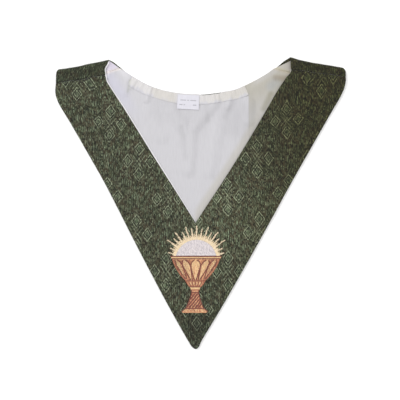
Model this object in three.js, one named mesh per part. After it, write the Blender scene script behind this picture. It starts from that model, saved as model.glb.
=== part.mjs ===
// A V-shaped scapular, laid flat with its front up. A green jacquard band from shoulder to shoulder lies on a
// whole back panel, which wraps over the top of each shoulder and is seamed to the band. Both have a white
// lining.
// Millimetres, +Z up, +Y towards the neck. The origin is the middle of the surface that the cloth rests on.
import * as THREE from "three";

// ---- cloth and stack ---------------------------------------------------------------------------------------
const JACQUARD = 1.2; // jacquard with its interfacing
const LINING = 1.0; // lining cloth, and the facing tape
const LABEL_CLOTH = 0.8;
const EMBROIDERY = 0.8; // height of the stitching over the band
const GAP = 0.3; // room between pieces that are sewn or lie together
const LINING_DEPTH = JACQUARD + GAP; // how far a lining lies inside its jacquard
const LINING_TOP = LINING_DEPTH + LINING; // upper face of the back panel's lining
const FRONT_TOP = LINING_TOP + GAP + LINING + GAP + JACQUARD; // upper face of the band where it lies flat

// ---- shoulder fold -----------------------------------------------------------------------------------------
const FOLD_HEIGHT = 9.2; // top of the soft roll over the surface below
const FOLD_REACH = 4.5; // plan depth of the roll's round
const FOLD_EASE = 46; // distance in which the roll sinks to the flat stack
const ROLL_STEPS = 6;
const STRIP_STEPS = 3; // rows between the roll and the shoulder seam

// ---- edges -------------------------------------------------------------------------------------------------
const BACK_INSET = 1; // the back panel is hidden by this much under the band's outer edge
const LINING_INSET = 4.4; // linings stop short of the outer edges
const LINING_PEEK = 1.7; // the front lining shows past the left inner edge
const LINING_HIDE = -0.8; // and stops short of the right one
const NECK_INSET = 0.7; // the back's lining stops short of the neckline
const BAND_COLUMNS = 4; // columns across the jacquard and the lining under it
const LINING_COLUMNS = 13; // and across the lining that shows
const MARGIN = 0.07; // share of a row that its narrow end columns take
const ROW_PITCH = 24; // rows along a panel
const LINING_PITCH = 18; // and along the lining that shows, with its creases

// Straight sections across the garment, from the left shoulder seam over the middle to the right one: the outer
// edge, the front band's inner edge, and the back panel's neckline.
const SECTION_COLUMNS = ["outerX", "outerY", "bandX", "bandY", "neckX", "neckY"];
const SECTIONS = [
  [-224.6, 186.2, -150.3, 198.6, -136.2, 217.7],
  [-225.5, 171.5, -146.8, 190.5, -125.3, 211.3],
  [-222.1, 158.3, -139.1, 177.0, -112.9, 202.2],
  [-202.4, 124.0, -120.6, 148.2, -97.4, 191.6],
  [-175.9, 77.4, -96.6, 109.7, -78.8, 182.3],
  [-146.6, 25.6, -71.8, 70.0, -60.1, 176.1],
  [-97.4, -67.5, -44.6, 26.5, -41.5, 172.1],
  [-47.7, -161.4, -21.3, -10.7, -22.9, 169.9],
  [-17.3, -214.9, -12.0, -25.6, -12.8, 169.4],
  [-13.1, -222.1, -9.4, -29.0, -9.7, 169.4],
  [-7.4, -226.1, -7.3, -31.5, -6.6, 169.4],
  [-2.6, -221.7, -5.6, -29.0, -2.7, 169.4],
  [-0.2, -214.9, -3.5, -26.1, 1.9, 169.4],
  [29.9, -161.8, 6.0, -11.0, 14.4, 170.4],
  [83.4, -67.8, 27.4, 24.1, 33.0, 173.0],
  [136.9, 26.2, 53.6, 67.5, 51.6, 177.1],
  [171.1, 86.1, 77.2, 107.8, 70.2, 184.8],
  [200.6, 137.8, 100.5, 146.6, 88.8, 194.3],
  [221.7, 174.6, 118.3, 176.1, 104.4, 203.6],
  [225.5, 187.0, 130.0, 192.0, 116.8, 212.4],
  [225.2, 195.6, 140.0, 205.2, 130.0, 221.4],
].map((row) => Object.fromEntries(row.map((value, column) => [SECTION_COLUMNS[column], value])));
const LAST = SECTIONS.length - 1;
const MIDDLE = LAST / 2;
const LINING_START = 2; // the section after the seam of the lining

// Each shoulder: the fold line's two ends, the round of its outer corner, the front seam's two ends (also the
// band's first section) and the lining's own seam, which lies on the back just behind the fold.
const SHOULDERS = {
  left: {
    fold: { outer: [-223.7, 207.8], inner: [-143.4, 223.2] },
    round: 4.6,
    section: 0,
    liningSeam: { outer: [-221.6, 176.0], inner: [-125.6, 209.9] },
  },
  right: {
    fold: { outer: [224.6, 210.2], inner: [140.0, 226.1] },
    round: 6.2,
    section: LAST,
    liningSeam: { outer: [223.0, 181.0], inner: [114.6, 209.9] },
  },
};

// Soft ridges, each along a short line: columns are the line's ends, its height and the reach to each side.
const RIDGE_COLUMNS = ["x1", "y1", "x2", "y2", "height", "reach"];
const table = (rows) => rows.map((row) => Object.fromEntries(row.map((v, c) => [RIDGE_COLUMNS[c], v])));
const BAND_RIDGES = table([
  [-205, 150, -150, 178, 0.9, 22],
  [-190, 84, -118, 128, 1.2, 26],
  [-140, 2, -78, 58, 1.0, 24],
  [206, 158, 132, 178, 1.1, 22],
  [172, 78, 96, 118, 0.9, 26],
  [118, -12, 58, 48, 1.2, 24],
]);
const LINING_RIDGES = table([
  [-112, 186, -117, 172, 0.8, 14],
  [-43, 142, -20, 108, 1.5, 15],
  [16, 133, -20, 108, 1.8, 14],
  [-20, 108, -20, 52, 1.6, 15],
  [75, 156, 74, 138, 1.4, 12],
  [-80, 142, -62, 104, 0.9, 16],
  [26, 112, 14, 50, 1.0, 16],
]);

// ---- neck facing and label ---------------------------------------------------------------------------------
// The facing's ends are places along the neckline's sections; its direction is taken a little further on.
const FACING = { from: 2.45, to: 15.9, width: 15, steps: 28, further: 0.05 };
const FACING_COLUMNS = [0, 0.5, 1];
const ROUND_STEPS = 4; // faces in a round corner
const LABEL = { x: -19.5, y: 157.5, width: 34, height: 22.5, turn: -0.055, cornerRound: 0.6 };

// ---- emblem: a cup under a half host with rays --------------------------------------------------------------
const EMBLEM_X = -7.3;
const RIM_Y = -81.5; // upper edge of the cup's rim
const HOST = { radius: 32, sunk: 6.8, steps: 20 }; // its centre lies below the rim's upper edge
const GLORY = { inner: 0.5, width: 4.6 }; // the glowing band round the host
const RAYS = { count: 17, from: 16, long: 55.5, short: 51, low: 45, foot: 2.1, tip: 0.8, bead: 1.7 };
const CUP_COLUMNS = ["drop", "half"];
const CUP = [
  [0, 39.0],
  [4.6, 38.2],
  [5.0, 36.6],
  [12, 34.2],
  [20, 28.8],
  [28, 22.0],
  [34, 17.4],
  [38.6, 14.6],
  [39.0, 15.6],
  [42.5, 14.6],
  [47.6, 9.4],
  [48.0, 8.6],
  [52.2, 8.4],
  [52.6, 6.2],
  [57, 6.2],
  [64, 7.6],
  [72, 10.6],
  [80.2, 15.0],
  [80.6, 19.6],
  [83.2, 21.2],
  [88, 20.6],
].map((row) => Object.fromEntries(row.map((value, column) => [CUP_COLUMNS[column], value])));

// ---- colours -----------------------------------------------------------------------------------------------
const FINISH = {
  jacquard: { color: 0x50573f, roughness: 0.9, metalness: 0 },
  lining: { color: 0xd3d2d6, roughness: 0.75, metalness: 0 },
  facing: { color: 0xe4dfdb, roughness: 0.8, metalness: 0 },
  label: { color: 0xe6e5ea, roughness: 0.7, metalness: 0 },
  host: { color: 0xdcd3d2, roughness: 0.6, metalness: 0 },
  gold: { color: 0xe0ca9f, roughness: 0.5, metalness: 0 },
  copper: { color: 0xb98e71, roughness: 0.5, metalness: 0 },
};

const garment = new THREE.Group();

/** Adds one named piece, in one of the finishes, to the garment. */
function piece(name, geometry, finish) {
  const mesh = new THREE.Mesh(geometry, new THREE.MeshStandardMaterial(FINISH[finish]));
  mesh.name = name;
  garment.add(mesh);
}

// ---- plan of the garment -----------------------------------------------------------------------------------
const vec = ([x, y]) => new THREE.Vector2(x, y);
const flat = (point) => new THREE.Vector2(point.x, point.y);

/** A smooth plan curve through one edge of the sections; places along it count in sections. */
function edge(name) {
  const points = SECTIONS.map((row) => new THREE.Vector3(row[`${name}X`], row[`${name}Y`], 0));
  const curve = new THREE.CatmullRomCurve3(points, false, "centripetal");
  return (place) => flat(curve.getPoint(place / LAST));
}
const EDGES = { outer: edge("outer"), band: edge("band"), neck: edge("neck") };

/** Places of the rows from one section to another, close together where the outer edge is long. */
function rowPlaces(first, last, pitch) {
  const places = [first];
  for (let k = Math.floor(first); k < last; k += 1) {
    const from = Math.max(k, first);
    const to = Math.min(k + 1, last);
    const steps = Math.ceil(EDGES.outer(from).distanceTo(EDGES.outer(to)) / pitch);
    for (let step = 1; step <= steps; step += 1) places.push(from + ((to - from) * step) / steps);
  }
  return places;
}

// ---- heights -----------------------------------------------------------------------------------------------
/** Distance from a plan point to the line through two others, or to the stretch between them. */
function distanceToLine(point, start, end, clamp) {
  const line = new THREE.Line3(new THREE.Vector3(...start, 0), new THREE.Vector3(...end, 0));
  const at = new THREE.Vector3(point.x, point.y, 0);
  return line.closestPointToPoint(at, clamp, new THREE.Vector3()).distanceTo(at);
}

/** Height that the soft ridges of a table add at a plan point, where the highest of them counts. */
function ridges(rows, point) {
  return rows.reduce((top, { x1, y1, x2, y2, height, reach }) => {
    const away = Math.min(distanceToLine(point, [x1, y1], [x2, y2], true) / reach, 1);
    return Math.max(top, height * (1 - away * away) ** 2);
  }, 0);
}

/** Upper face of the front: flat over the stack, with its ridges, rising to the roll at each shoulder. */
function frontTop(point) {
  const { fold } = point.x < 0 ? SHOULDERS.left : SHOULDERS.right;
  const away = Math.max(distanceToLine(point, fold.outer, fold.inner, false) - FOLD_REACH, 0) / FOLD_EASE;
  const rise = away < 1 ? (1 + Math.cos(Math.PI * away)) / 2 : 0;
  return FRONT_TOP + (FOLD_HEIGHT - FRONT_TOP) * rise + ridges(BAND_RIDGES, point);
}

// ---- rows of a wall ----------------------------------------------------------------------------------------
// A row has a length, and a function that gives a point of it from the share of the way from the outer edge (0)
// to the inner one (1), and from the depth under the garment's outside.
const at = (point, z) => new THREE.Vector3(point.x, point.y, z);

/** A row of the front, facing up. */
const topRow = (outer, inner) => ({
  length: outer.distanceTo(inner),
  point: (share, depth) => {
    const place = outer.clone().lerp(inner, share);
    return at(place, frontTop(place) - depth);
  },
});

/** A row of the back, lying on the surface, with the ridges of a table. */
const underRow = (outer, inner, creases = []) => ({
  length: outer.distanceTo(inner),
  point: (share, depth) => {
    const place = outer.clone().lerp(inner, share);
    return at(place, depth + ridges(creases, place));
  },
});

/** A row whose ends move along it: the outer one inwards by inset, the inner one onwards by ease. */
function fitted(row, inset, ease) {
  const moved = { 0: inset / row.length, 1: -ease / row.length };
  const point = (share, depth) => {
    const place = row.point(share, depth);
    if (!(share in moved)) return place;
    return place.lerp(row.point(share === 0 ? MARGIN : 1 - MARGIN, depth), moved[share] / MARGIN);
  };
  return { length: row.length, point };
}

/** A shoulder's fold line, and the ways from it to the front seam and down the back. */
function shoulderPlan({ fold, round, section }) {
  const foldOuter = vec(fold.outer);
  const foldInner = vec(fold.inner);
  const length = foldOuter.distanceTo(foldInner);
  const seam = { outer: EDGES.outer(section), inner: EDGES.band(section) };
  const back = { outer: EDGES.outer(section), inner: EDGES.neck(section) };
  const onFold = (share) => {
    const target = seam.outer.clone().lerp(seam.inner, share);
    const point = foldOuter.clone().lerp(foldInner, share);
    const near = Math.min((share * length) / round, 1);
    const cut = round * (1 - Math.sqrt(1 - (1 - near) ** 2));
    return point.addScaledVector(target.sub(point).normalize(), cut);
  };
  const way = (ends, share) => ends.outer.clone().lerp(ends.inner, share).sub(onFold(share));
  return { length, onFold, toSeam: (share) => way(seam, share), toBack: (share) => way(back, share) };
}

/** A row of the roll at an angle: -90 degrees lies on the back, 90 degrees on the front. */
const rollRow = (plan, angle) => ({
  length: plan.length,
  point: (share, depth) => {
    const toSeam = plan.toSeam(share).normalize();
    const lean = (1 + Math.sin(angle)) / 2;
    const inwards = plan.toBack(share).normalize().lerp(toSeam, lean).normalize();
    const half = frontTop(plan.onFold(share).addScaledVector(toSeam, FOLD_REACH)) / 2;
    const reach = FOLD_REACH - (FOLD_REACH - depth) * Math.cos(angle);
    const place = plan.onFold(share).addScaledVector(inwards, reach);
    return at(place, half + (half - depth) * Math.sin(angle));
  },
});

/** A row of the strip between the seam (0) and the roll (1). */
const stripRow = (plan, nearness) => ({
  length: plan.length,
  point: (share, depth) => {
    const way = plan.toSeam(share);
    const reach = THREE.MathUtils.lerp(way.length() - GAP, FOLD_REACH, nearness);
    const place = plan.onFold(share).addScaledVector(way.normalize(), reach);
    return at(place, frontTop(place) - depth);
  },
});

/** Rows from the front seam up to the roll, round it and down to the back. */
function overFold(plan) {
  const rows = [];
  for (let step = 0; step < STRIP_STEPS; step += 1) rows.push(stripRow(plan, step / STRIP_STEPS));
  for (let step = 0; step <= ROLL_STEPS; step += 1) {
    rows.push(rollRow(plan, Math.PI / 2 - (Math.PI * step) / ROLL_STEPS));
  }
  return rows;
}

/**
 * A closed wall between two skins of the same rows. The skins lie at two depths under the garment's outside,
 * and shares gives the columns' shares of each row. Facing is 1 where the outside is on the left-hand side of
 * the rows.
 */
function wall(rows, shares, depth, thickness, facing) {
  const positions = [];
  const skins = facing > 0 ? [depth, depth + thickness] : [depth + thickness, depth];
  for (const skin of skins) {
    for (const row of rows) {
      for (const share of shares) positions.push(...row.point(share, skin));
    }
  }
  const across = shares.length;
  const size = rows.length * across;
  const index = [];
  const quad = (a, b, c, d) => index.push(a, b, c, a, c, d);
  for (let i = 0; i + 1 < rows.length; i += 1) {
    for (let j = 0; j + 1 < across; j += 1) {
      const [a, b, c, d] = [0, across, across + 1, 1].map((step) => i * across + j + step);
      quad(a, b, c, d);
      index.push(a + size, c + size, b + size, a + size, d + size, c + size);
    }
  }
  const rim = (from, to) => quad(from, to, to + size, from + size);
  for (let i = 0; i + 1 < rows.length; i += 1) {
    rim((i + 1) * across, i * across);
    rim(i * across + across - 1, (i + 1) * across + across - 1);
  }
  for (let j = 0; j + 1 < across; j += 1) {
    rim(j, j + 1);
    rim(size - across + j + 1, size - across + j);
  }
  const geometry = new THREE.BufferGeometry();
  geometry.setAttribute("position", new THREE.Float32BufferAttribute(positions, 3));
  geometry.setIndex(index);
  geometry.computeVertexNormals();
  return geometry;
}

/** Shares across a row, evenly spaced between a narrow column at each end. */
function columns(count) {
  const shares = [];
  for (let step = 0; step <= count; step += 1) {
    shares.push(THREE.MathUtils.lerp(MARGIN, 1 - MARGIN, step / count));
  }
  return [0, ...shares, 1];
}

// ---- panels ------------------------------------------------------------------------------------------------
/** The jacquard V of the front, in one piece from seam to seam. */
function frontBand() {
  const rows = rowPlaces(0, LAST, ROW_PITCH).map((q) => topRow(EDGES.outer(q), EDGES.band(q)));
  return wall(rows, columns(BAND_COLUMNS), 0, JACQUARD, 1);
}

/** The jacquard back panel, with a strip over each shoulder down to the front seam. */
function backPanel() {
  const left = overFold(shoulderPlan(SHOULDERS.left));
  const right = overFold(shoulderPlan(SHOULDERS.right)).reverse();
  const middle = rowPlaces(0, LAST, ROW_PITCH).map((q) => {
    const inset = BACK_INSET * Math.min(q, LAST - q, 1);
    return fitted(underRow(EDGES.outer(q), EDGES.neck(q)), inset, 0);
  });
  return wall([...left, ...middle, ...right], columns(BAND_COLUMNS), 0, JACQUARD, -1);
}

/** The lining's seam behind one fold, as a row; room moves it away from the fold. */
function seamRow({ liningSeam, fold }, room) {
  const foldMiddle = vec(fold.inner).add(vec(fold.outer)).multiplyScalar(0.5);
  const seamMiddle = vec(liningSeam.inner).add(vec(liningSeam.outer)).multiplyScalar(0.5);
  const shift = seamMiddle.sub(foldMiddle).normalize().multiplyScalar(room);
  return underRow(vec(liningSeam.outer).add(shift), vec(liningSeam.inner).add(shift));
}

/** The front band's lining, which runs on over each fold to its seam on the back. */
function frontLining() {
  const strip = (side, ease) => {
    const rows = overFold(shoulderPlan(side)).map((row) => fitted(row, LINING_INSET, ease));
    return [seamRow(side, 0), ...rows.reverse()];
  };
  const middle = rowPlaces(0, LAST, ROW_PITCH).map((q) => {
    const right = THREE.MathUtils.smoothstep(q, MIDDLE - 1, MIDDLE + 1);
    const ease = THREE.MathUtils.lerp(LINING_PEEK, LINING_HIDE, right);
    return fitted(topRow(EDGES.outer(q), EDGES.band(q)), LINING_INSET, ease);
  });
  const left = strip(SHOULDERS.left, LINING_PEEK);
  const right = strip(SHOULDERS.right, LINING_HIDE).reverse();
  return wall([...left, ...middle, ...right], columns(BAND_COLUMNS), LINING_DEPTH, LINING, 1);
}

/** The back panel's lining, from shoulder seam to shoulder seam. */
function backLining() {
  const [left, right] = Object.values(SHOULDERS).map((side) => fitted(seamRow(side, GAP), 0, -NECK_INSET));
  const middle = rowPlaces(LINING_START, LAST - LINING_START, LINING_PITCH).map((q) =>
    fitted(underRow(EDGES.outer(q), EDGES.neck(q), LINING_RIDGES), LINING_INSET, -NECK_INSET),
  );
  return wall([left, ...middle, right], columns(LINING_COLUMNS), LINING_DEPTH, LINING, -1);
}

/** The facing, a tape along the neckline that lies on the back's lining. */
function neckFacing() {
  const rows = [];
  for (let step = 0; step <= FACING.steps; step += 1) {
    const q = THREE.MathUtils.lerp(FACING.from, FACING.to, step / FACING.steps);
    const neck = EDGES.neck(q);
    const ahead = EDGES.neck(q + FACING.further).sub(neck).normalize();
    const down = new THREE.Vector2(ahead.y, -ahead.x);
    const lower = neck.clone().addScaledVector(down, FACING.width);
    rows.push(underRow(lower, neck.addScaledVector(down, NECK_INSET), LINING_RIDGES));
  }
  return wall(rows, FACING_COLUMNS, LINING_TOP + GAP, LINING, -1);
}

/** A flat piece with an outline in plan, standing on a level. */
function plate(shape, level, thickness) {
  const options = { depth: thickness, bevelEnabled: false, curveSegments: ROUND_STEPS };
  return new THREE.ExtrudeGeometry(shape, options).translate(0, 0, level);
}

/** The woven label at the middle of the neckline, with nothing on it. */
function label() {
  const { x, y, width, height, turn, cornerRound: r } = LABEL;
  const right = width / 2;
  const top = height / 2;
  const shape = new THREE.Shape();
  shape.moveTo(-right + r, -top);
  shape.lineTo(right - r, -top);
  shape.absarc(right - r, -top + r, r, -Math.PI / 2, 0);
  shape.lineTo(right, top - r);
  shape.absarc(right - r, top - r, r, 0, Math.PI / 2);
  shape.lineTo(-right + r, top);
  shape.absarc(-right + r, top - r, r, Math.PI / 2, Math.PI);
  shape.lineTo(-right, -top + r);
  shape.absarc(-right + r, -top + r, r, Math.PI, Math.PI * 1.5);
  const level = LINING_TOP + GAP + LINING + GAP;
  return plate(shape, level, LABEL_CLOTH).rotateZ(turn).translate(x, y, 0);
}

// ---- emblem ------------------------------------------------------------------------------------------------
const EMBLEM_LEVEL = FRONT_TOP + GAP;
const HOST_CENTRE = new THREE.Vector2(EMBLEM_X, RIM_Y - HOST.sunk);
const RIM_LINE = RIM_Y + GAP;
/** A point at a distance and an angle from the host's centre. */
function onRing(radius, angle) {
  return HOST_CENTRE.clone().add(new THREE.Vector2(Math.cos(angle), Math.sin(angle)).multiplyScalar(radius));
}

/** Angle at which a circle round the host's centre meets the rim. */
const meet = (radius) => Math.asin((RIM_LINE - HOST_CENTRE.y) / radius);

/** The half host above the rim. */
function host() {
  const start = meet(HOST.radius);
  const points = [];
  for (let step = 0; step <= HOST.steps; step += 1) {
    points.push(onRing(HOST.radius, THREE.MathUtils.lerp(start, Math.PI - start, step / HOST.steps)));
  }
  return plate(new THREE.Shape(points), EMBLEM_LEVEL, EMBROIDERY);
}

/** The glowing band with its rays, each with a small bead at its tip. */
function glory() {
  const inner = HOST.radius + GLORY.inner;
  const outer = inner + GLORY.width;
  const points = [onRing(outer, meet(outer))];
  for (let ray = 0; ray < RAYS.count; ray += 1) {
    const angle = THREE.MathUtils.degToRad(RAYS.from + ((180 - 2 * RAYS.from) * ray) / (RAYS.count - 1));
    const full = ray % 2 ? RAYS.short : RAYS.long;
    const reach = Math.min(ray, RAYS.count - 1 - ray) < 2 ? RAYS.low : full;
    const side = (radius, width) => onRing(radius, angle + width / radius);
    points.push(side(outer, -RAYS.foot), side(reach - 2 * RAYS.bead, -RAYS.tip));
    points.push(side(reach - RAYS.bead, -RAYS.bead), side(reach, -RAYS.tip));
    points.push(side(reach, RAYS.tip), side(reach - RAYS.bead, RAYS.bead));
    points.push(side(reach - 2 * RAYS.bead, RAYS.tip), side(outer, RAYS.foot));
  }
  points.push(onRing(outer, Math.PI - meet(outer)));
  const start = meet(inner);
  for (let step = 0; step <= HOST.steps; step += 1) {
    points.push(onRing(inner, THREE.MathUtils.lerp(Math.PI - start, start, step / HOST.steps)));
  }
  return plate(new THREE.Shape(points), EMBLEM_LEVEL, EMBROIDERY);
}

/** The cup: rim, fluted bowl, knop, twisted stem and foot, in one silhouette. */
function cup() {
  const right = CUP.map(({ drop, half }) => new THREE.Vector2(EMBLEM_X + half, RIM_Y - drop));
  const left = CUP.map(({ drop, half }) => new THREE.Vector2(EMBLEM_X - half, RIM_Y - drop)).reverse();
  return plate(new THREE.Shape([...right, ...left]), EMBLEM_LEVEL, EMBROIDERY);
}

piece("back_panel", backPanel(), "jacquard");
piece("back_lining", backLining(), "lining");
piece("front_lining", frontLining(), "lining");
piece("front_band", frontBand(), "jacquard");
piece("neck_facing", neckFacing(), "facing");
piece("label", label(), "label");
piece("emblem_host", host(), "host");
piece("emblem_glory", glory(), "gold");
piece("emblem_cup", cup(), "copper");

export default garment;
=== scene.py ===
import logging
import math
from dataclasses import dataclass, field
from enum import Enum
from typing import Callable, Sequence

import bpy
import numpy as np
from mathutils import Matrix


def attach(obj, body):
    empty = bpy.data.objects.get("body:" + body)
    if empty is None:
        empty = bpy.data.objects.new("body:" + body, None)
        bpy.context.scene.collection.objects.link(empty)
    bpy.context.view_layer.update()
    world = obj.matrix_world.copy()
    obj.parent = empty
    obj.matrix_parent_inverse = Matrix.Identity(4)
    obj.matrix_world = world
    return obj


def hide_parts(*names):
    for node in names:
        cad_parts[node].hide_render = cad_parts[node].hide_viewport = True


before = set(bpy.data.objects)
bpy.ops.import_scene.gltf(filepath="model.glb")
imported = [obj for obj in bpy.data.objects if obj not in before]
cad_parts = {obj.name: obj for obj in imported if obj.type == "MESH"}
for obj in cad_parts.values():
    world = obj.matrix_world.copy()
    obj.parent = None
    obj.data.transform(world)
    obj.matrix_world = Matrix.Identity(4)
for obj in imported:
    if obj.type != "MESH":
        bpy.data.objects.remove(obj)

log = logging.getLogger("scapular")
Array = np.ndarray
Number = "Wire | float"
MM = 0.001
BODY = "root"
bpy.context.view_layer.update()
SEED = 7

# Thicknesses of the cloths and heights of the stack, in millimetres. They are as in the solids, but tape and
# tag are thinner, as real ones are, and THINNEST is the least that a rounded rim leaves of a wall.
JACQUARD = 1.2
LINING = 1.0
GAP = 0.3
LINING_DEPTH = 1.5
LINING_TOP = 2.5
FRONT_TOP = 5.3
FOLD_HEIGHT = 9.2
TAPE = 0.6
TAG = 0.45
THINNEST = 0.05

# The roll at a shoulder: its reach beyond the fold line, the ease of the front up to it, the depth of the
# strip in front of it, its radius and half its length on the uncut cloth, and how far the seam's waves reach.
FOLD_REACH = 4.5
FOLD_EASE = 46.0
STRIP_DEPTH = 24.0
ROLL_RADIUS = 4.6
ROLL_HALF = 7.2
SEAM_REACH = 16.0

# How far the edges of the panels lie inside the outline, or peek past the band.
BACK_INSET = 1.0
LINING_INSET = 4.4
LINING_PEEK = 1.7
LINING_HIDE = -0.8

# Distances of the close rows at a rim, the width of its rounding and its depth as a share of the thickness.
RIM_STEPS = (0.0, 0.1, 0.3, 0.65, 1.3)
RIM_ROUND = 0.65
RIM_SINK = 0.44

# The middle of the V, and the share of a height over the band's inner edge that lies square to the edge.
MIDDLE_X = -7.3
EDGE_SLANT = 0.54

# Sections round the V from the left shoulder to the right one, eased by up to 3 mm from the solids', because
# the cloth's edges bow a little. Columns: X and Y of the outer edge, the band's inner edge and the neckline.
SECTIONS = (
    (-224.6, 186.2, -150.3, 198.6, -135.6, 219.9),
    (-225.5, 171.5, -146.8, 190.5, -125.0, 211.4),
    (-221.8, 158.3, -138.6, 177.3, -112.9, 201.7),
    (-201.8, 124.0, -119.7, 148.2, -97.4, 192.1),
    (-174.9, 77.4, -95.7, 109.7, -78.8, 182.3),
    (-145.9, 25.6, -71.2, 70.0, -60.1, 176.1),
    (-98.5, -67.5, -43.6, 26.5, -41.5, 172.1),
    (-48.9, -161.4, -20.1, -10.7, -22.9, 169.9),
    (-18.5, -214.9, -11.2, -24.8, -12.8, 169.4),
    (-13.4, -222.8, -9.4, -27.9, -9.7, 169.4),
    (-7.6, -226.1, -8.1, -30.0, -6.6, 169.4),
    (-2.9, -222.3, -6.9, -28.1, -2.7, 169.4),
    (0.4, -214.9, -4.9, -25.3, 1.9, 169.4),
    (32.1, -161.8, 4.3, -11.0, 14.4, 170.4),
    (85.8, -67.8, 27.7, 24.1, 33.0, 173.0),
    (137.4, 26.2, 55.4, 67.5, 51.6, 176.1),
    (171.1, 86.1, 79.9, 107.8, 70.2, 183.6),
    (200.6, 137.8, 102.6, 146.6, 88.8, 193.1),
    (221.0, 174.6, 119.6, 176.1, 104.4, 202.3),
    (224.3, 187.0, 130.3, 192.0, 116.8, 210.6),
    (224.8, 195.6, 139.4, 205.2, 129.0, 221.0),
)
LAST = len(SECTIONS) - 1


class Side(Enum):
    """A shoulder, by the sign of its X."""

    LEFT = -1
    RIGHT = 1


def srgb(red: float, green: float, blue: float) -> tuple[float, float, float, float]:
    """Turns a display colour into a linear one.

    Args:
        red, green, blue: display values from 0 to 255.
    Returns:
        The linear colour with full alpha.
    """
    linear = [((v / 255 + 0.055) / 1.055) ** 2.4 if v > 10 else v / 255 / 12.92 for v in (red, green, blue)]
    return (*linear, 1.0)


def smooth(low: float, high: float, value: Array) -> Array:
    """Gives a soft step from 0 at low to 1 at high."""
    t = np.clip((np.asarray(value, dtype=float) - low) / (high - low), 0, 1)
    return t * t * (3 - 2 * t)


def wave(value: Array, knots: Sequence[float], heights: Sequence[float]) -> Array:
    """Runs softly through heights at knots.

    Args:
        value: where to look.
        knots: rising places.
        heights: the height at each knot.
    Returns:
        The height at each value.
    """
    index = np.interp(value, knots, np.arange(len(knots)))
    low = np.minimum(np.floor(index).astype(int), len(knots) - 2)
    part = (1 - np.cos(math.pi * (index - low))) / 2
    table = np.array(heights, dtype=float)
    return table[low] + (table[low + 1] - table[low]) * part


# ---- plan and heights ----------------------------------------------------------------------------


class PlanCurve:
    """A smooth centripetal curve through points, whose places count in points."""

    def __init__(self, points: Sequence[Sequence[float]]) -> None:
        """Keeps the points and one more beyond each end."""
        inner = np.array(points, dtype=float)
        self.points = np.vstack([2 * inner[0] - inner[1], inner, 2 * inner[-1] - inner[-2]])

    def at(self, places: Array) -> Array:
        """Finds points of the curve.

        Args:
            places: places along it, in points.
        Returns:
            One plan point for each place.
        """
        places = np.atleast_1d(np.asarray(places, dtype=float))
        k = np.clip(np.floor(places), 0, len(self.points) - 4).astype(int)
        w = (places - k)[:, None]
        p0, p1, p2, p3 = (self.points[k + step] for step in range(4))
        pairs = ((p0, p1), (p1, p2), (p2, p3))
        g0, g1, g2 = (np.sum((b - a) ** 2, axis=1)[:, None] ** 0.25 for a, b in pairs)
        t1 = ((p1 - p0) / g0 - (p2 - p0) / (g0 + g1) + (p2 - p1) / g1) * g1
        t2 = ((p2 - p1) / g1 - (p3 - p1) / (g1 + g2) + (p3 - p2) / g2) * g1
        cubic = 2 * p1 - 2 * p2 + t1 + t2
        square = -3 * p1 + 3 * p2 - 2 * t1 - t2
        return p1 + t1 * w + square * w**2 + cubic * w**3


OUTER = PlanCurve([row[0:2] for row in SECTIONS])
BAND = PlanCurve([row[2:4] for row in SECTIONS])
NECK = PlanCurve([row[4:6] for row in SECTIONS])


def over_edge(edge: PlanCurve, points: Array, first: float, last: float, steps: int) -> Array:
    """Gives how high plan points lie over an edge of the garment.

    Args:
        edge: the edge's curve.
        points: plan points.
        first, last: places of the curve between which it is looked at.
        steps: points to take of it.
    Returns:
        The height over the edge at the same X, below zero under it.
    """
    line = edge.at(np.linspace(first, last, steps))
    return points[..., 1] - np.interp(points[..., 0], line[:, 0], line[:, 1])


def running_length(points: Array) -> Array:
    """Gives the distance along a line of points from its first point to each one."""
    return np.concatenate([[0], np.cumsum(np.linalg.norm(np.diff(points, axis=0), axis=1))])


@dataclass(frozen=True)
class Crease:
    """A soft ridge along a short line, or a trough where its height is below zero."""

    x1: float
    y1: float
    x2: float
    y2: float
    height: float
    reach: float

    def lift(self, points: Array) -> Array:
        """Gives the height that it adds at plan points.

        Args:
            points: plan points.
        Returns:
            The height at each point.
        """
        start = np.array([self.x1, self.y1])
        way = np.array([self.x2, self.y2]) - start
        share = np.clip((points - start) @ way / (way @ way), 0, 1)
        away = np.linalg.norm(points - start - share[..., None] * way, axis=-1) / self.reach
        return self.height * (1 - np.minimum(away, 1) ** 2) ** 2


# Columns: X and Y of one end, X and Y of the other, height and reach.
BAND_RIDGES = (
    Crease(-205, 150, -150, 178, 0.9, 22),
    Crease(-190, 84, -118, 128, 1.2, 26),
    Crease(-140, 2, -78, 58, 1.0, 24),
    Crease(206, 158, 132, 178, 1.1, 22),
    Crease(172, 78, 96, 118, 0.9, 26),
    Crease(118, -12, 58, 48, 1.2, 24),
)
BAND_TROUGHS = (
    Crease(-196, 122, -150, 152, -0.35, 12),
    Crease(-152, 44, -108, 86, -0.4, 13),
    Crease(-96, -52, -60, 2, -0.3, 12),
    Crease(192, 124, 128, 146, -0.4, 12),
    Crease(146, 36, 92, 74, -0.35, 13),
    Crease(74, -62, 34, -8, -0.3, 12),
    Crease(-26, -178, -12, -196, -0.3, 9),
)
LINING_RIDGES = (
    Crease(-104.5, 190, -109, 180, 1.3, 6),
    Crease(-114.5, 188, -117, 172, 1.0, 9),
    Crease(-79, 178, -84, 160, 1.4, 7),
    Crease(-48, 168, -44, 152, 1.0, 8),
    Crease(-43, 142, -20, 108, 2.0, 15),
    Crease(22, 158, -14, 114, 2.6, 13),
    Crease(-16, 108, -20, 52, 2.2, 15),
    Crease(46, 168, 41, 150, 1.4, 8),
    Crease(75, 156, 74, 128, 2.0, 12),
    Crease(-80, 142, -62, 104, 1.3, 16),
    Crease(26, 112, 14, 50, 1.6, 16),
)
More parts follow.
